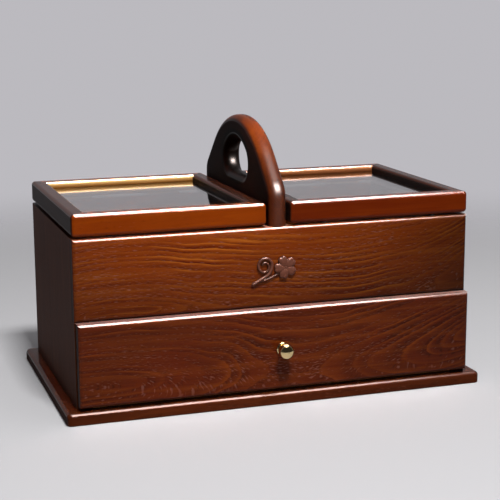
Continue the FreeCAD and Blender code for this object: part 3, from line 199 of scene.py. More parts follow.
# Wood: growth rings about a heart line that runs along the board at a changing depth.
# Each year's ring starts with open pores and ends in smooth late wood
def makeWood(name, look):
    material, tree, shader = newMaterial(name)
    parts = dict(zip("xyz", splitParts(tree, "Object")))
    middle = dict(zip("xyz", look["middle"]))
    along, across, deep = [addMath(tree, "SUBTRACT", parts[letter], middle[letter])
                           for letter in look["axes"]]

    # Noise drawn out along the grain. A shift only keeps one noise apart from another
    def addGrain(cells, detail=2.0, roughness=0.5, shift=0.0):
        alongCells, acrossCells = cells
        place = addVector(tree, addMath(tree, "MULTIPLY", along, alongCells),
                          addMath(tree, "MULTIPLY_ADD", across, acrossCells, shift),
                          addMath(tree, "MULTIPLY_ADD", deep, acrossCells, look["seed"]))
        return addNoise(tree, place, detail=detail, roughness=roughness)

    # 1 on flat faces, 0 on rounded edges, where the lacquer is smooth
    facing = splitParts(tree, "Normal")
    facingX, facingY, facingZ = [addMath(tree, "ABSOLUTE", part) for part in facing]
    flat = addRange(tree, addMost(tree, facingX, facingY, facingZ), *look["flatRange"])

    # The heart line lies so deep and so far across, from one end of the board to the other
    share = addRange(tree, along, -look["length"] / 2, look["length"] / 2, smooth=False)
    heartDeep = addMath(tree, "MULTIPLY", addCurve(tree, share, look["heartDepth"]), look["heartScale"])
    heartReach = look["width"] * look["heartSpan"]
    heartAcross = addMath(tree, "MULTIPLY_ADD", addCurve(tree, share, look["heartRise"]),
                          heartReach, -heartReach / 2)
    sway = []
    for shift in (0.0, 31.0):
        noise = addGrain((1 / look["swayLength"], 1 / look["swayWidth"]), shift=shift)
        sway.append(addMath(tree, "MULTIPLY_ADD", noise, look["sway"], -look["sway"] / 2))
    acrossGap = addMath(tree, "ADD", addMath(tree, "SUBTRACT", across, heartAcross), sway[0])
    deepGap = addMath(tree, "ADD", addMath(tree, "SUBTRACT", deep, heartDeep), sway[1])
    radius = addMath(tree, "SQRT", addMath(tree, "ADD", addMath(tree, "MULTIPLY", acrossGap, acrossGap),
                                           addMath(tree, "MULTIPLY", deepGap, deepGap)))
    rings = addMath(tree, "DIVIDE", radius, look["ringWidth"])
    uneven = addNoise(tree, addVector(tree, look["seed"], rings, 0.0), scale=look["unevenCells"])
    rings = addMath(tree, "MULTIPLY_ADD", uneven, look["uneven"], rings)
    wobble = addGrain(look["wobbleCells"], detail=4.0, roughness=0.6)
    rings = addMath(tree, "MULTIPLY_ADD", wobble, look["wobble"], rings)
    phase = addMath(tree, "FRACT", rings)
    ringNumber = addMath(tree, "FLOOR", rings)

    # Every ring is more or less distinct, and changes along its length
    porous, plain, late = look["tones"]
    porousEnd, plainAt, lateStart, lateEnd = look["ringStops"]
    colour = addRamp(tree, phase, [(0.0, porous), (porousEnd, porous), (plainAt, plain), (lateStart, late),
                                   (lateEnd, late), (1.0, porous)])
    stretch = addMath(tree, "MULTIPLY", along, look["yearCells"])
    yearly = addNoise(tree, addVector(tree, stretch, ringNumber, look["seed"]), scale=look["yearScale"])
    fading = addGrain(look["fadeCells"], shift=17.0)
    distinct = addMath(tree, "MULTIPLY", addRange(tree, yearly, *look["yearRange"]),
                       addRange(tree, fading, *look["fadeRange"], look["leastRing"], 1.0))
    colour = addMix(tree, addMath(tree, "MULTIPLY", distinct, look["ringShow"]), plain, colour)

    # Broad patches of stain, soft light bands, and fine dark streaks along the grain
    patches = addGrain(look["patchCells"])
    bands = addGrain(look["bandCells"], detail=3.0, roughness=0.55, shift=8.0)
    streaks = addGrain(look["streakCells"], detail=4.0, roughness=0.65)
    for noise, kind, stain in ((patches, "patch", look["patchTone"]), (bands, "band", late),
                               (streaks, "streak", porous)):
        amount = addRange(tree, noise, *look[kind + "Range"], 0.0, look[kind])
        colour = addMix(tree, amount, colour, stain)

    # Pores are short dashes, close together where a ring starts: most are dark, and a few
    # are pale
    crowdNoise = addGrain(look["crowdCells"], detail=1.0, shift=5.0)
    sparse = addRange(tree, crowdNoise, *look["crowdRange"], 1.0, 0.0)
    lateness = addRange(tree, phase, *look["lateRange"])
    alongRings = addMath(tree, "MULTIPLY_ADD", across, look["dashSlant"], radius)

    def addDashes(kind, shift):
        place = addVector(tree, addMath(tree, "DIVIDE", along, look["poreLength"]),
                          addMath(tree, "MULTIPLY_ADD", alongRings, 1 / look["poreWidth"], shift),
                          addMath(tree, "MULTIPLY_ADD", deep, 1 / look["poreWidth"], look["seed"]))
        dashes = addNoise(tree, place, detail=1.5, roughness=0.45)
        level = addMath(tree, "MULTIPLY_ADD", sparse, look[kind + "Sparse"], look[kind + "Level"])
        level = addMath(tree, "MULTIPLY_ADD", lateness, look[kind + "Late"], level)
        return addMath(tree, "MULTIPLY", addMath(tree, "SUBTRACT", dashes, level), look["dashContrast"],
                       clamp=True)

    darkDashes = addDashes("dark", 3.0)
    pores = addDashes("pore", 0.0)
    for dashes, kind in ((darkDashes, "dark"), (pores, "pore")):
        colour = addMix(tree, addMath(tree, "MULTIPLY", dashes, look[kind + "Show"]), colour,
                        look[kind + "Tone"])

    # Painted light and shade: the board darkens from end to end and from edge to edge as light
    # falls on it, and some pieces have darker wide faces and tops, also painted shade
    edgeShade = addRange(tree, across, -look["width"] / 2, look["width"] / 2, look["lowShade"], 1.0,
                         smooth=False)
    shade = addMath(tree, "MULTIPLY", addCurve(tree, share, look["shading"]), edgeShade)
    colour = addMix(tree, 1.0, colour, shade, blend="MULTIPLY")
    # painted shade on the faces to the left and right and on top
    for facingPart, key in ((facingX, "faceShade"), (facingZ, "topShade")):
        if look[key] < 1:
            shade = addRange(tree, facingPart, *look["faceRange"], 1.0, look[key])
            colour = addMix(tree, 1.0, colour, shade, blend="MULTIPLY")
    feed(tree, shader.inputs["Base Color"], colour)

    # The lacquer is duller in the pores, on the satin faces and where it faces down
    rough = addMath(tree, "MULTIPLY_ADD", addMath(tree, "MULTIPLY", pores, flat), look["poreRoughness"],
                    look["roughness"])
    toLeft = addMath(tree, "MULTIPLY", facing[0], -1.0)
    toRight = addMath(tree, "MULTIPLY", facing[0], look["satinRight"])
    toTop = addMath(tree, "MULTIPLY", facingZ, look["satinTop"])
    satin = addRange(tree, addMost(tree, toLeft, toRight, toTop), *look["satinRange"], 0.0, look["satin"])
    below = addRange(tree, facing[2], *look["belowRange"], look["belowRoughness"], 0.0)
    feed(tree, shader.inputs["Roughness"], addMost(tree, rough, satin, below))
    shader.inputs["Specular IOR Level"].default_value = look["specular"]
    shader.inputs["Specular Tint"].default_value = (*look["glossTone"], 1.0)
    bump = tree.nodes.new("ShaderNodeBump")
    feed(tree, bump.inputs["Strength"], addMath(tree, "MULTIPLY", flat, look["bump"]))
    bump.inputs["Distance"].default_value = look["bumpDepth"]
    grooves = addMath(tree, "SUBTRACT", addMath(tree, "MULTIPLY", streaks, look["streakDepth"]),
                      addMost(tree, pores, darkDashes))
    feed(tree, bump.inputs["Height"], grooves)
    feed(tree, shader.inputs["Normal"], bump.outputs[0])
    return material


# Cells are those of a noise, for each metre along and across the grain. A range is where
# something starts and where it is full: on a noise, on a ring, or on how squarely a face
# looks one way
woodDefaults = {
    "axes": "xzy",           # along the grain, across the shown face, into the board
    "middle": (0.0, 0.0, 0.0),
    "length": 0.33,          # the stretch that the heart line's two curves cover
    "width": 0.064,
    "heartDepth": [(0, 0.5), (1, 0.5)],
    "heartScale": 0.04,      # in metres, what 0 to 1 of the depth covers
    "heartRise": [(0, 0.5), (1, 0.5)],
    "heartSpan": 1.0,        # in board widths, what 0 to 1 of the rise covers
    "sway": 0.008,
    "swayLength": 0.07,
    "swayWidth": 0.06,
    "seed": 1.0,
    "ringWidth": 0.0035,
    "uneven": 2.6,           # in rings, how far their spacing drifts
    "unevenCells": 0.45,     # for each ring
    "wobble": 0.35,
    "wobbleCells": (70.0, 420.0),
    "tones": (tone(84, 29, 3), tone(112, 45, 4), tone(150, 74, 14)),
    "ringStops": (0.25, 0.62, 0.86, 0.93),    # end of the porous part, plain, late from and to
    "ringShow": 0.88,
    "leastRing": 0.3,        # how much of a ring shows where it fades
    "yearCells": 9.0,
    "yearScale": 1.7,
    "yearRange": (0.3, 0.65),
    "fadeCells": (13.0, 30.0),
    "fadeRange": (0.32, 0.62),
    "patch": 0.35,
    "patchCells": (16.0, 34.0),
    "patchRange": (0.35, 0.7),
    "patchTone": tone(88, 29, 3),
    "band": 0.45,
    "bandCells": (9.0, 150.0),
    "bandRange": (0.45, 0.72),
    "streak": 0.4,
    "streakCells": (34.0, 900.0),
    "streakRange": (0.42, 0.75),
    "streakDepth": 0.3,      # beside that of the pores
    "crowdCells": (11.0, 26.0),
    "crowdRange": (0.38, 0.62),
    "lateRange": (0.15, 0.75),
    "dashSlant": 0.6,        # how far the dashes' rows turn out of the rings
    "dashContrast": 5.5,
    "poreLength": 0.005,
    "poreWidth": 0.0008,
    "poreLevel": 0.57,       # the higher, the fewer
    "poreSparse": 0.07,      # what the level gains where pores are sparse
    "poreLate": 0.1,         # and in late wood
    "poreShow": 0.4,
    "poreTone": tone(146, 92, 76),
    "poreRoughness": 0.2,    # beyond that of the lacquer
    "darkLevel": 0.5,
    "darkSparse": 0.03,
    "darkLate": 0.14,
    "darkShow": 0.45,
    "darkTone": tone(46, 13, 2),
    "lowShade": 1.0,         # painted shade: how dark the board is along its lower edge
    # painted light and shade along the board, from end to end
    "shading": [(0, 1), (1, 1)],
    "faceShade": 1.0,        # painted shade: how dark the faces to the left and right are
    "topShade": 1.0,         # and the top, also painted shade
    "faceRange": (0.75, 0.97),
    "flatRange": (0.985, 0.999),
    "roughness": 0.2,
    "satin": 0.0,            # least roughness of the faces to the left and right
    "satinRight": 1.0,       # 0 leaves the faces to the right glossy
    "satinTop": 0.0,         # 1 gives the top the same roughness
    "satinRange": (0.96, 0.995),
    "belowRoughness": 0.9,   # unpolished where it faces down
    "belowRange": (-0.5, -0.15),
    "specular": 0.08,
    "glossTone": (1.0, 0.84, 0.78),
    "bump": 0.3,
    "bumpDepth": 0.0002,
}


def wood(name, **changes):
    return makeWood(name, {**woodDefaults, **changes})


# Painted shade where these woods set shading, lowShade, faceShade or topShade: the upper panel darkens to
# the right and downwards, the drawer front and the base board towards their ends, and some pieces on their
# side faces and tops
upperWood = wood("upper panel wood", middle=(0.0, -0.0885, 0.111), seed=1.0,
                 heartDepth=[(0, 0.15), (0.12, 0.0), (0.3, 0.22), (0.6, 0.3), (0.85, 0.3), (1, 0.1)],
                 heartRise=[(0, 0.36), (0.12, 0.37), (0.35, 0.34), (0.8, 0.33), (1, 0.44)], heartSpan=3.0,
                 ringWidth=0.0042, band=0.25, tones=(tone(78, 22, 2), tone(118, 48, 7), tone(158, 84, 23)),
                 shading=[(0, 0.82), (0.35, 1.0), (0.75, 0.66), (1, 0.28)], lowShade=0.5, faceShade=0.2,
                 satin=0.75, satinRight=0.0, satinTop=1.0, specular=0.09, poreLevel=0.5, poreShow=0.42)
drawerWood = wood("drawer front wood", middle=(0.0, -0.097, 0.045), seed=4.0,
                  heartDepth=[(0, 0.0), (0.1, 0.08), (0.36, 0.62), (0.5, 0.85), (0.8, 0.5), (1, 0.1)],
                  heartRise=[(0, 0.25), (0.4, 0.27), (0.7, 0.2), (1, 0.5)], ringWidth=0.0044,
                  tones=(tone(48, 14, 3), tone(75, 26, 5), tone(104, 45, 10)), patchTone=tone(80, 20, 5),
                  poreTone=tone(118, 70, 58), poreLevel=0.5, darkTone=tone(30, 9, 3), faceShade=0.2,
                  satin=0.75, satinRight=0.0, satinTop=1.0, specular=0.09, darkShow=0.4, poreShow=0.34,
                  poreLength=0.0045, shading=[(0, 0.84), (0.4, 0.98), (0.75, 0.86), (1, 0.55)])
lidLook = {"middle": (0.0, -0.088, 0.154), "sway": 0.004, "ringWidth": 0.006, "poreShow": 0.1,
           "poreLevel": 0.66, "darkLevel": 0.6, "darkShow": 0.3, "bump": 0.05, "band": 0.4, "streak": 0.5,
           "ringShow": 0.8}
leftLook = {**lidLook, "patchTone": tone(108, 38, 2),
            "tones": (tone(104, 38, 1), tone(118, 46, 1), tone(132, 58, 3))}
rightLook = {**lidLook, "patchTone": tone(74, 18, 1),
             "tones": (tone(74, 20, 1), tone(86, 25, 1), tone(100, 36, 2))}
leftLidWood = wood("left lid wood", **leftLook, seed=9.0)
rightLidWood = wood("right lid wood", **rightLook, seed=10.0)
leftBackWood = wood("left back rail wood", **leftLook, seed=12.0, topShade=0.8)
rightBackWood = wood("right back rail wood", **rightLook, seed=13.0)
lidSideWood = wood("lid side wood", **{**lidLook, "middle": (0.0, 0.0, 0.163)}, axes="yxz", seed=11.0,
                   tones=(tone(44, 19, 10), tone(58, 26, 14), tone(70, 34, 19)), patchTone=tone(50, 22, 12),
                   specular=0.028, faceShade=0.25, satin=0.5, topShade=0.7)
# Painted shade: the side panels' tones are darker than the fronts' and the back's, for the shade the left
# side lies in
sideWood = wood("side wood", axes="zyx", seed=14.0, middle=(-0.165, 0.0, 0.07), width=0.18,
                tones=(tone(48, 22, 11), tone(60, 29, 15), tone(74, 39, 22)), patchTone=tone(50, 22, 11),
                darkTone=tone(24, 11, 5), poreShow=0.2, poreTone=tone(84, 58, 46), specular=0.01,
                roughness=0.3, satin=0.5)
backWood = wood("back panel wood", seed=15.0, middle=(0.0, 0.09, 0.07), width=0.13,
                tones=(tone(78, 30, 7), tone(98, 41, 10), tone(118, 56, 16)), patchTone=tone(80, 28, 6))
baseWood = wood("base wood", axes="xyz", seed=17.0, middle=(0.0, 0.0, 0.0095), width=0.2,
                tones=(tone(52, 20, 6), tone(68, 27, 8), tone(80, 34, 11)), patchTone=tone(60, 21, 7),
                darkTone=tone(30, 10, 3), poreShow=0.2, shading=[(0, 0.8), (0.3, 1), (1, 0.8)],
                specular=0.04, faceShade=0.4, satin=0.8)
# Painted light and shade along the handle: its front flank is lighter, its foot, top and back darker
handleWood = wood("handle wood", axes="yzx", seed=21.0, middle=(0.0, 0.0, 0.18), length=0.2, width=0.1,
                  tones=(tone(100, 36, 6), tone(128, 52, 9), tone(154, 70, 16)), patchTone=tone(104, 36, 7),
                  poreShow=0.05, darkShow=0.3, bump=0.05, faceShade=0.12, ringShow=0.5, specular=0.04,
                  satin=0.7, satinRight=0.0, roughness=0.36,
                  shading=[(0, 0.26), (0.12, 0.32), (0.22, 0.6), (0.33, 0.82), (0.45, 0.46), (0.6, 0.34),
                           (1, 0.24)])
floorWood = wood("compartment floor wood", seed=27.0, middle=(0.0, 0.0, 0.085), axes="xyz", width=0.17,
                 tones=(tone(40, 26, 18), tone(50, 34, 24), tone(58, 40, 28)), patchTone=tone(46, 30, 20),
                 poreTone=tone(34, 22, 16), darkTone=tone(26, 16, 11), roughness=0.5)
innerWood = wood("inner wood", seed=25.0, tones=(tone(150, 106, 66), tone(172, 126, 80), tone(186, 140, 92)),
                 patchTone=tone(160, 118, 76), poreTone=tone(120, 84, 56), darkTone=tone(118, 80, 50),
                 specular=0.3, roughness=0.6)
emblemWood = wood("emblem wood", seed=31.0, tones=(tone(72, 38, 27), tone(92, 53, 40), tone(108, 66, 51)),
                  patchTone=tone(80, 42, 31), poreShow=0.05, darkShow=0.2, bump=0.1, roughness=0.36,
                  specular=0.045)


def colourOf(material):    # a wood's tree, its colour socket and the colour fed to it so far
    tree = material.node_tree
    socket = tree.nodes["Principled BSDF"].inputs["Base Color"]
    return tree, socket, socket.links[0].from_socket


def darken(material, shade):
    tree, socket, colour = colourOf(material)
    feed(tree, socket, addMix(tree, 1.0, colour, shade, blend="MULTIPLY"))


# Painted reflection: the back rails' walls above the panes are painted a golden and a coppery tone,
# brightest at the top edge and darker down to the pane
wallLook = {
    "low": 0.1567,           # top of the pane
    "high": 0.1612,
    "cells": (12.0, 400.0, 900.0),
    "mottle": 0.24,
    "facing": (-0.6, -0.2),  # forwards, where the painted reflection is full and where it ends
    "left": (tone(112, 68, 24), tone(226, 176, 108)),
    "right": (tone(84, 42, 16), tone(168, 106, 66)),
}


def paintWallReflection(material, lowTone, highTone, look):
    tree, socket, plain = colourOf(material)
    place = splitParts(tree, "Object")
    stretch = addVector(tree, *[addMath(tree, "MULTIPLY", part, cells)
                                for part, cells in zip(place, look["cells"])])
    grain = addMath(tree, "MULTIPLY_ADD", addNoise(tree, stretch), look["mottle"], -look["mottle"] / 2)
    height = addMath(tree, "ADD", addRange(tree, place[2], look["low"], look["high"]), grain)
    onWall = addRange(tree, splitParts(tree, "Normal")[1], *look["facing"], 1.0, 0.0)
    feed(tree, socket, addMix(tree, onWall, plain, addMix(tree, height, lowTone, highTone)))


paintWallReflection(leftBackWood, *wallLook["left"], wallLook)
paintWallReflection(rightBackWood, *wallLook["right"], wallLook)

# Painted shade: the emblem is darker towards the panel it lies on, where its sides are in shade
footShade = {
    "low": 0.0008,           # above the panel
    "high": 0.0028,
    "darkness": 0.12,
}


def shadeFoot(material, look):
    tree = material.node_tree
    outwards = splitParts(tree, "Object")[1]
    darken(material, addRange(tree, outwards, -look["high"], -look["low"], 1.0, look["darkness"]))


shadeFoot(emblemWood, footShade)

# Painted shade: the finger hole's wall is darker than the rest of the handle
gripShade = {
    "middle": (0.0013, 0.1885),     # front to back and up, from the handle board's finger hole
    "reach": (0.04, 0.0235),
    "fade": (0.8, 1.1),      # where the painted shade ends, 1 being the reach squared
    "darkness": 0.14,
}


def shadeGrip(material, look):
    tree = material.node_tree
    squares = []
    for part, middle, reach in zip(splitParts(tree, "Object")[1:], look["middle"], look["reach"]):
        offset = addMath(tree, "DIVIDE", addMath(tree, "SUBTRACT", part, middle), reach)
        squares.append(addMath(tree, "MULTIPLY", offset, offset))
    distance = addMath(tree, "ADD", *squares)
    darken(material, addRange(tree, distance, *look["fade"], look["darkness"], 1.0))


shadeGrip(handleWood, gripShade)


# Metal that is a little darker and duller in places
metalLook = {
    "cells": 260.0,          # of the mottle, per metre
    "detail": 3.0,
    "range": (0.3, 0.7),
    "share": 0.25,           # of the darker tone, where it shows most
    "darkness": 0.8,
    "dullness": 0.08,
}


def makeMetal(name, colour, roughness, look):
    material, tree, shader = newMaterial(name)
    shader.inputs["Metallic"].default_value = 1.0
    place = tree.nodes.new("ShaderNodeTexCoord").outputs["Object"]
    mottle = addNoise(tree, place, scale=look["cells"], detail=look["detail"])
    darker = [part * look["darkness"] for part in colour]
    feed(tree, shader.inputs["Base Color"],
         addMix(tree, addRange(tree, mottle, *look["range"], 0.0, look["share"]), colour, darker))
    feed(tree, shader.inputs["Roughness"],
         addRange(tree, mottle, *look["range"], roughness, roughness + look["dullness"]))
    return material


brass = makeMetal("brass", tone(214, 190, 140), 0.12, metalLook)
hingeBrass = makeMetal("hinge brass", tone(190, 150, 88), 0.3, metalLook)
steel = makeMetal("steel", tone(176, 174, 170), 0.3, metalLook)

glassLook = {
    "tint": (0.7, 0.68, 0.66),
    "roughness": 0.02,
    "bending": 1.5,          # the glass's index of refraction
}


def makeGlass(look):
    material, tree, shader = newMaterial("pane glass")
    shader.inputs["Transmission Weight"].default_value = 1.0
    shader.inputs["Roughness"].default_value = look["roughness"]
    shader.inputs["IOR"].default_value = look["bending"]
    shader.inputs["Base Color"].default_value = (*look["tint"], 1.0)
    return material


glass = makeGlass(glassLook)

feltLook = {
    "cells": 2500.0,         # of the pile, per metre
    "detail": 4.0,
    "tones": (tone(26, 18, 14), tone(40, 28, 22)),
}


def makeFelt(look):
    material, tree, shader = newMaterial("bumper felt")
    place = tree.nodes.new("ShaderNodeTexCoord").outputs["Object"]
    pile = addNoise(tree, place, scale=look["cells"], detail=look["detail"])
    feed(tree, shader.inputs["Base Color"], addMix(tree, pile, *look["tones"]))
    shader.inputs["Roughness"].default_value = 1.0
    return material


felt = makeFelt(feltLook)


def dress(material, *names):
    for name in names:
        mesh = cadNodes[name].data
        mesh.materials.clear()
        mesh.materials.append(material)


for name in cadNodes:
    if "screw" in name:
        dress(hingeBrass if "hinge" in name else steel, name)
    elif "hinge" in name:
        dress(hingeBrass, name)
    elif name.startswith("knob"):
        dress(brass, name)
    elif "glass" in name:
        dress(glass, name)
    elif "bumper" in name:
        dress(felt, name)
    elif name == "compartment_floor":
        dress(floorWood, name)
    elif name.startswith("drawer_") or name == "panel_dowels":
        dress(innerWood, name)
    elif "lid" in name and "back" in name:
        dress(leftBackWood if "left" in name else rightBackWood, name)
    elif "lid" in name and "front" in name:
        dress(leftLidWood if "left" in name else rightLidWood, name)
    elif "lid" in name:
        dress(lidSideWood, name)
    elif "side_panel" in name:
        dress(sideWood, name)
dress(backWood, "back_panel")
dress(upperWood, "upper_front_panel")
dress(drawerWood, "drawer_front")
dress(baseWood, "base_board")
dress(handleWood, "handle_board")
print("materials made")


# Emblem: five creased petals with notched tips, an eye, a stem, and a tendril that curls in.
# Lengths are in metres and places are measured from the middle of the blossom
emblemLook = {
    "middle": (0.0051, 0.110),
    "petalLength": 0.0097,
    "petalWidth": 0.0073,
    "petalRise": 0.0029,
    "petalRim": 0.0016,      # height of the petals' upright edge
    "petalTurn": 22.0,       # degrees of the top petal, anticlockwise
    "petalBelly": 0.24,      # how much wider the outer half is
    "petalDome": 2.4,        # the higher, the flatter the top
    "petalStart": 1.02,      # in half lengths, from the blossom's middle to the petal's
    "petalLevels": (1.0, 0.97, 0.9, 0.78, 0.6, 0.4, 0.2, 0.05),    # shares of its outline
    "notch": 0.0007,
    "notchSpread": 0.3,      # in radians about the tip
    "crease": 0.0001,
    "creaseWidth": 0.0006,
    "eyeRadius": 0.0015,
    "eyeRise": 0.0026,
    "tipPlace": (-0.0284, -0.0128),
    "slope": 28.0,
    "runs": [(0.013,), (62.0, 0.0104), (243.0, 0.0056), (180.0, 0.0039), (120.0, 0.0024)],
    "tendrilRadii": (0.0013, 0.00125, 0.0009),
    "stemEnds": ((-0.0252, -0.0111), (-0.0052, -0.0044)),
    "stemSag": 0.0011,
    "stemRadii": (0.0008, 0.001, 0.0009),
    "endRadius": 0.15,       # in radii, what a rod's rounded end closes with
    "petalSteps": 48,
    "eyeSteps": 24,
    "eyeLevels": 8,
    "rodSteps": 14,
    "stemSteps": 40,
    "runSpacing": 0.0004,
    "sunk": 0.00005,         # into the panel
    "grain": 0.00022,        # size of the grid that joins the carved parts
}


def addShell(shell, rings):
    loops = [[shell.verts.new(point) for point in ring] for ring in rings]
    for lower, upper in zip(loops, loops[1:]):
        for number in range(len(lower)):
            after = (number + 1) % len(lower)
            shell.faces.new((lower[number], lower[after], upper[after], upper[number]))
    shell.faces.new(reversed(loops[0]))
    shell.faces.new(loops[-1])


def addPetal(shell, look, turn):
    steps = look["petalSteps"]
    half = look["petalLength"] / 2
    rings = []
    for level in ("foot", *look["petalLevels"]):
        size = 1.0 if level == "foot" else level
        ring = []
        for step in range(steps):
            angle = 2 * math.pi * step / steps
            bend = min(angle, 2 * math.pi - angle)      # 0 at the tip
            along = half * math.cos(angle) - look["notch"] * math.exp(-(bend / look["notchSpread"]) ** 2)
            across = look["petalWidth"] / 2 * math.sin(angle) * (1 + look["petalBelly"] * math.cos(angle))
            along = half * look["petalStart"] + along * size
            across *= size
            rise = 0.0
            if level != "foot":
                dome = math.sqrt(1 - size ** look["petalDome"])
                rise = look["petalRim"] + (look["petalRise"] - look["petalRim"]) * dome
                rise -= look["crease"] * math.exp(-(across / look["creaseWidth"]) ** 2)
            ring.append((along * math.cos(turn) - across * math.sin(turn), -rise,
                         along * math.sin(turn) + across * math.cos(turn)))
        rings.append(ring)
    addShell(shell, rings)


def addEye(shell, look):
    radius, steps = look["eyeRadius"], look["eyeSteps"]
    rings = []
    for level in range(look["eyeLevels"]):
        angle = math.pi / 2 * level / look["eyeLevels"]
        rings.append([(radius * math.cos(angle) * math.cos(turn), -look["eyeRise"] * math.sin(angle),
                       radius * math.cos(angle) * math.sin(turn))
                      for turn in (2 * math.pi * step / steps for step in range(steps))])
    addShell(shell, rings)


def followRuns(look):    # the tendril's path of straight runs and left turns
    x, z = look["tipPlace"]
    slope = look["slope"]
    points = [(x, z)]
    for run in look["runs"]:
        turned, length = (0.0, run[0]) if len(run) == 1 else (run[0], math.radians(run[0]) * run[1])
        count = max(1, round(length / look["runSpacing"]))
        for step in range(count):
            slope += turned / count / 2
            x += math.cos(math.radians(slope)) * length / count
            z += math.sin(math.radians(slope)) * length / count
            slope += turned / count / 2
            points.append((x, z))
    return points


def addRod(shell, points, radii, look):    # a round rod on the panel whose ends are rounded
    steps = look["rodSteps"]
    startRadius, middleRadius, endRadius = radii
    lengths = [0.0]
    for first, second in zip(points, points[1:]):
        lengths.append(lengths[-1] + math.dist(first, second))
    rings = []
    for number, (x, z) in enumerate(points):
        share = lengths[number] / lengths[-1]
        full = (startRadius + (middleRadius - startRadius) * share * 2 if share < 0.5
                else middleRadius + (endRadius - middleRadius) * (share * 2 - 1))
        fromEnd = min(lengths[number], lengths[-1] - lengths[number])
        gap = max(0.0, full - fromEnd)
        radius = max(full * look["endRadius"], math.sqrt(full * full - gap * gap))
        before, after = points[max(0, number - 1)], points[min(len(points) - 1, number + 1)]
        length = math.dist(before, after)
        sideX, sideZ = -(after[1] - before[1]) / length, (after[0] - before[0]) / length
        rings.append([(x + sideX * radius * math.cos(angle), -full - radius * math.sin(angle),
                       z + sideZ * radius * math.cos(angle))
                      for angle in (2 * math.pi * step / steps for step in range(steps))])
    addShell(shell, rings)


def makeEmblem(look):
    shell = bmesh.new()
    for number in range(5):
        addPetal(shell, look, math.radians(90 + look["petalTurn"] + 72 * number))
    addEye(shell, look)
    addRod(shell, followRuns(look), look["tendrilRadii"], look)
    (startX, startZ), (endX, endZ) = look["stemEnds"]
    stem = []
    for step in range(look["stemSteps"] + 1):
        share = step / look["stemSteps"]
        sag = look["stemSag"] * 4 * share * (1 - share)
        stem.append((startX + (endX - startX) * share, startZ + (endZ - startZ) * share - sag))
    addRod(shell, stem, look["stemRadii"], look)
    bmesh.ops.recalc_face_normals(shell, faces=shell.faces)
    mesh = bpy.data.meshes.new("carved_blossom")
    shell.to_mesh(mesh)
    shell.free()
    emblem = bpy.data.objects.new("carved_blossom", mesh)
    bpy.context.scene.collection.objects.link(emblem)
    x, z = look["middle"]
    panelFront = cadNodes["upper_front_panel"].location.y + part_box("upper_front_panel")[0][1]
    emblem.location = (x, panelFront + look["sunk"], z)
    joined = emblem.modifiers.new("joined", "REMESH")
    joined.mode = "VOXEL"
    joined.voxel_size = look["grain"]
    joined.use_smooth_shade = True
    soft = emblem.modifiers.new("soft", "SMOOTH")
    soft.factor = 0.5
    soft.iterations = 2
    mesh.materials.append(emblemWood)
    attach(emblem, "carcass")
    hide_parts("blossom_emblem")


makeEmblem(emblemLook)
print("emblem carved")


# Floor that fades into an even grey surrounding
stageLook = {
    "floorTone": (0.38, 0.375, 0.385),
    "surroundTone": (0.50, 0.49, 0.52),
    "ambient": 0.22,         # how much the surroundings light the object
    "room": -0.2,            # how far what is mirrored from in front is above the ambient level
    "backdropFrom": (-0.2, 0.35),    # front to back, from the room to the backdrop
    "floorReach": 3.0,
    "floorDrop": 0.0002,     # below the base
    "floorRoughness": 0.8,
    "floorSpecular": 0.2,
    "fadeFrom": 0.45,
    "fadeTo": 1.1,
}


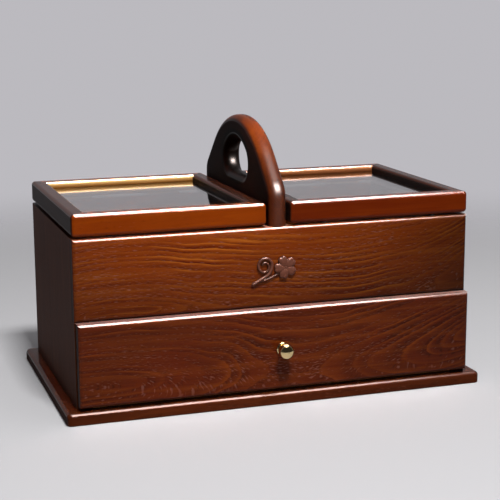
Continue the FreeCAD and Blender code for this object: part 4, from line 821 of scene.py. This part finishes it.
def makeStage(look):
    reach = look["floorReach"]
    mesh = bpy.data.meshes.new("floor")
    mesh.from_pydata([(-reach, -reach, 0), (reach, -reach, 0), (reach, reach, 0), (-reach, reach, 0)], [],
                     [(0, 1, 2, 3)])
    floor = bpy.data.objects.new("floor", mesh)
    floor.location.z = cadLow.z - look["floorDrop"]
    bpy.context.scene.collection.objects.link(floor)
    material, tree, shader = newMaterial("floor")
    shader.inputs["Base Color"].default_value = (*look["floorTone"], 1.0)
    shader.inputs["Roughness"].default_value = look["floorRoughness"]
    shader.inputs["Specular IOR Level"].default_value = look["floorSpecular"]
    place = tree.nodes.new("ShaderNodeTexCoord").outputs["Object"]
    length = tree.nodes.new("ShaderNodeVectorMath")
    length.operation = "LENGTH"
    feed(tree, length.inputs[0], place)
    fade = addRange(tree, length.outputs["Value"], look["fadeFrom"], look["fadeTo"])
    clear = tree.nodes.new("ShaderNodeBsdfTransparent")
    blend = tree.nodes.new("ShaderNodeMixShader")
    feed(tree, blend.inputs[0], fade)
    tree.links.new(shader.outputs[0], blend.inputs[1])
    tree.links.new(clear.outputs[0], blend.inputs[2])
    tree.links.new(blend.outputs[0], tree.nodes["Material Output"].inputs["Surface"])
    mesh.materials.append(material)

    world = bpy.data.worlds.new("surroundings")
    bpy.context.scene.world = world
    world.use_nodes = True
    tree = world.node_tree
    background = tree.nodes["Background"]
    rays = tree.nodes.new("ShaderNodeLightPath")
    # Metal and glass show the pale backdrop, and the dimmer room in front of it
    behind = splitParts(tree, "Generated")[1]
    backdrop = addRange(tree, behind, *look["backdropFrom"], look["room"], 1.0)
    mirrored = addMath(tree, "MULTIPLY", rays.outputs["Is Glossy Ray"], backdrop)
    direct = addMost(tree, rays.outputs["Is Camera Ray"], rays.outputs["Is Transmission Ray"])
    shown = addMath(tree, "MINIMUM", addMath(tree, "ADD", direct, mirrored), 1.0)
    feed(tree, background.inputs["Color"], (*look["surroundTone"], 1.0))
    feed(tree, background.inputs["Strength"],
         addMath(tree, "MULTIPLY_ADD", shown, 1 - look["ambient"], look["ambient"]))


makeStage(stageLook)

# Soft lamps: place, what each looks at, size in metres, watts. A lamp with onlyGloss is
# a light panel that shows in the lacquer, and only in the pieces whose names it gives
lamps = {
    "key": {"place": (-0.05, -0.95, 1.65), "aim": (0, 0, 0.1), "size": (0.35, 0.3), "power": 51.0,
            "gloss": False},
    "fill": {"place": (0.0, -2.0, 0.8), "aim": (0, 0, 0.1), "size": (1.2, 1.0), "power": 4.0,
             "gloss": False},
    "above": {"place": (0.2, -0.3, 1.7), "aim": (0, 0, 0.1), "size": (1.0, 0.8), "power": 8.0},
    "edgePanel": {"place": (0.27, -0.5, 1.5), "aim": (0.27, -0.49, 0), "size": (1.04, 2.6), "power": 2000.0,
                  "onlyGloss": ("upper_front_panel", "drawer_front", "base_board", "left_lid", "right_lid",
                                "carved_blossom")},
    "handlePanel": {"place": (0.42, -1.1, 1.3), "aim": (0, 0, 0.17), "size": (0.5, 1.0), "power": 1700.0,
                    "onlyGloss": ("handle_board",)},
}


def makeLamps(settings):
    for name, lamp in settings.items():
        data = bpy.data.lights.new(name, "AREA")
        data.shape = "RECTANGLE"
        data.size, data.size_y = lamp["size"]
        data.energy = lamp["power"]
        thing = bpy.data.objects.new(name, data)
        thing.location = lamp["place"]
        direction = Vector(lamp["aim"]) - Vector(lamp["place"])
        thing.rotation_mode = "QUATERNION"
        thing.rotation_quaternion = direction.to_track_quat("-Z", "Y")
        bpy.context.scene.collection.objects.link(thing)
        thing.visible_glossy = lamp.get("gloss", True)
        if "onlyGloss" in lamp:
            thing.visible_diffuse = False
            lit = bpy.data.collections.new(name + " shows in")
            pieces = {**cadNodes, "carved_blossom": bpy.data.objects["carved_blossom"]}
            for pieceName, piece in pieces.items():
                if pieceName.startswith(lamp["onlyGloss"]) and "glass" not in pieceName:
                    lit.objects.link(piece)
            thing.light_linking.receiver_collection = lit


makeLamps(lamps)
print("stage and lamps set")
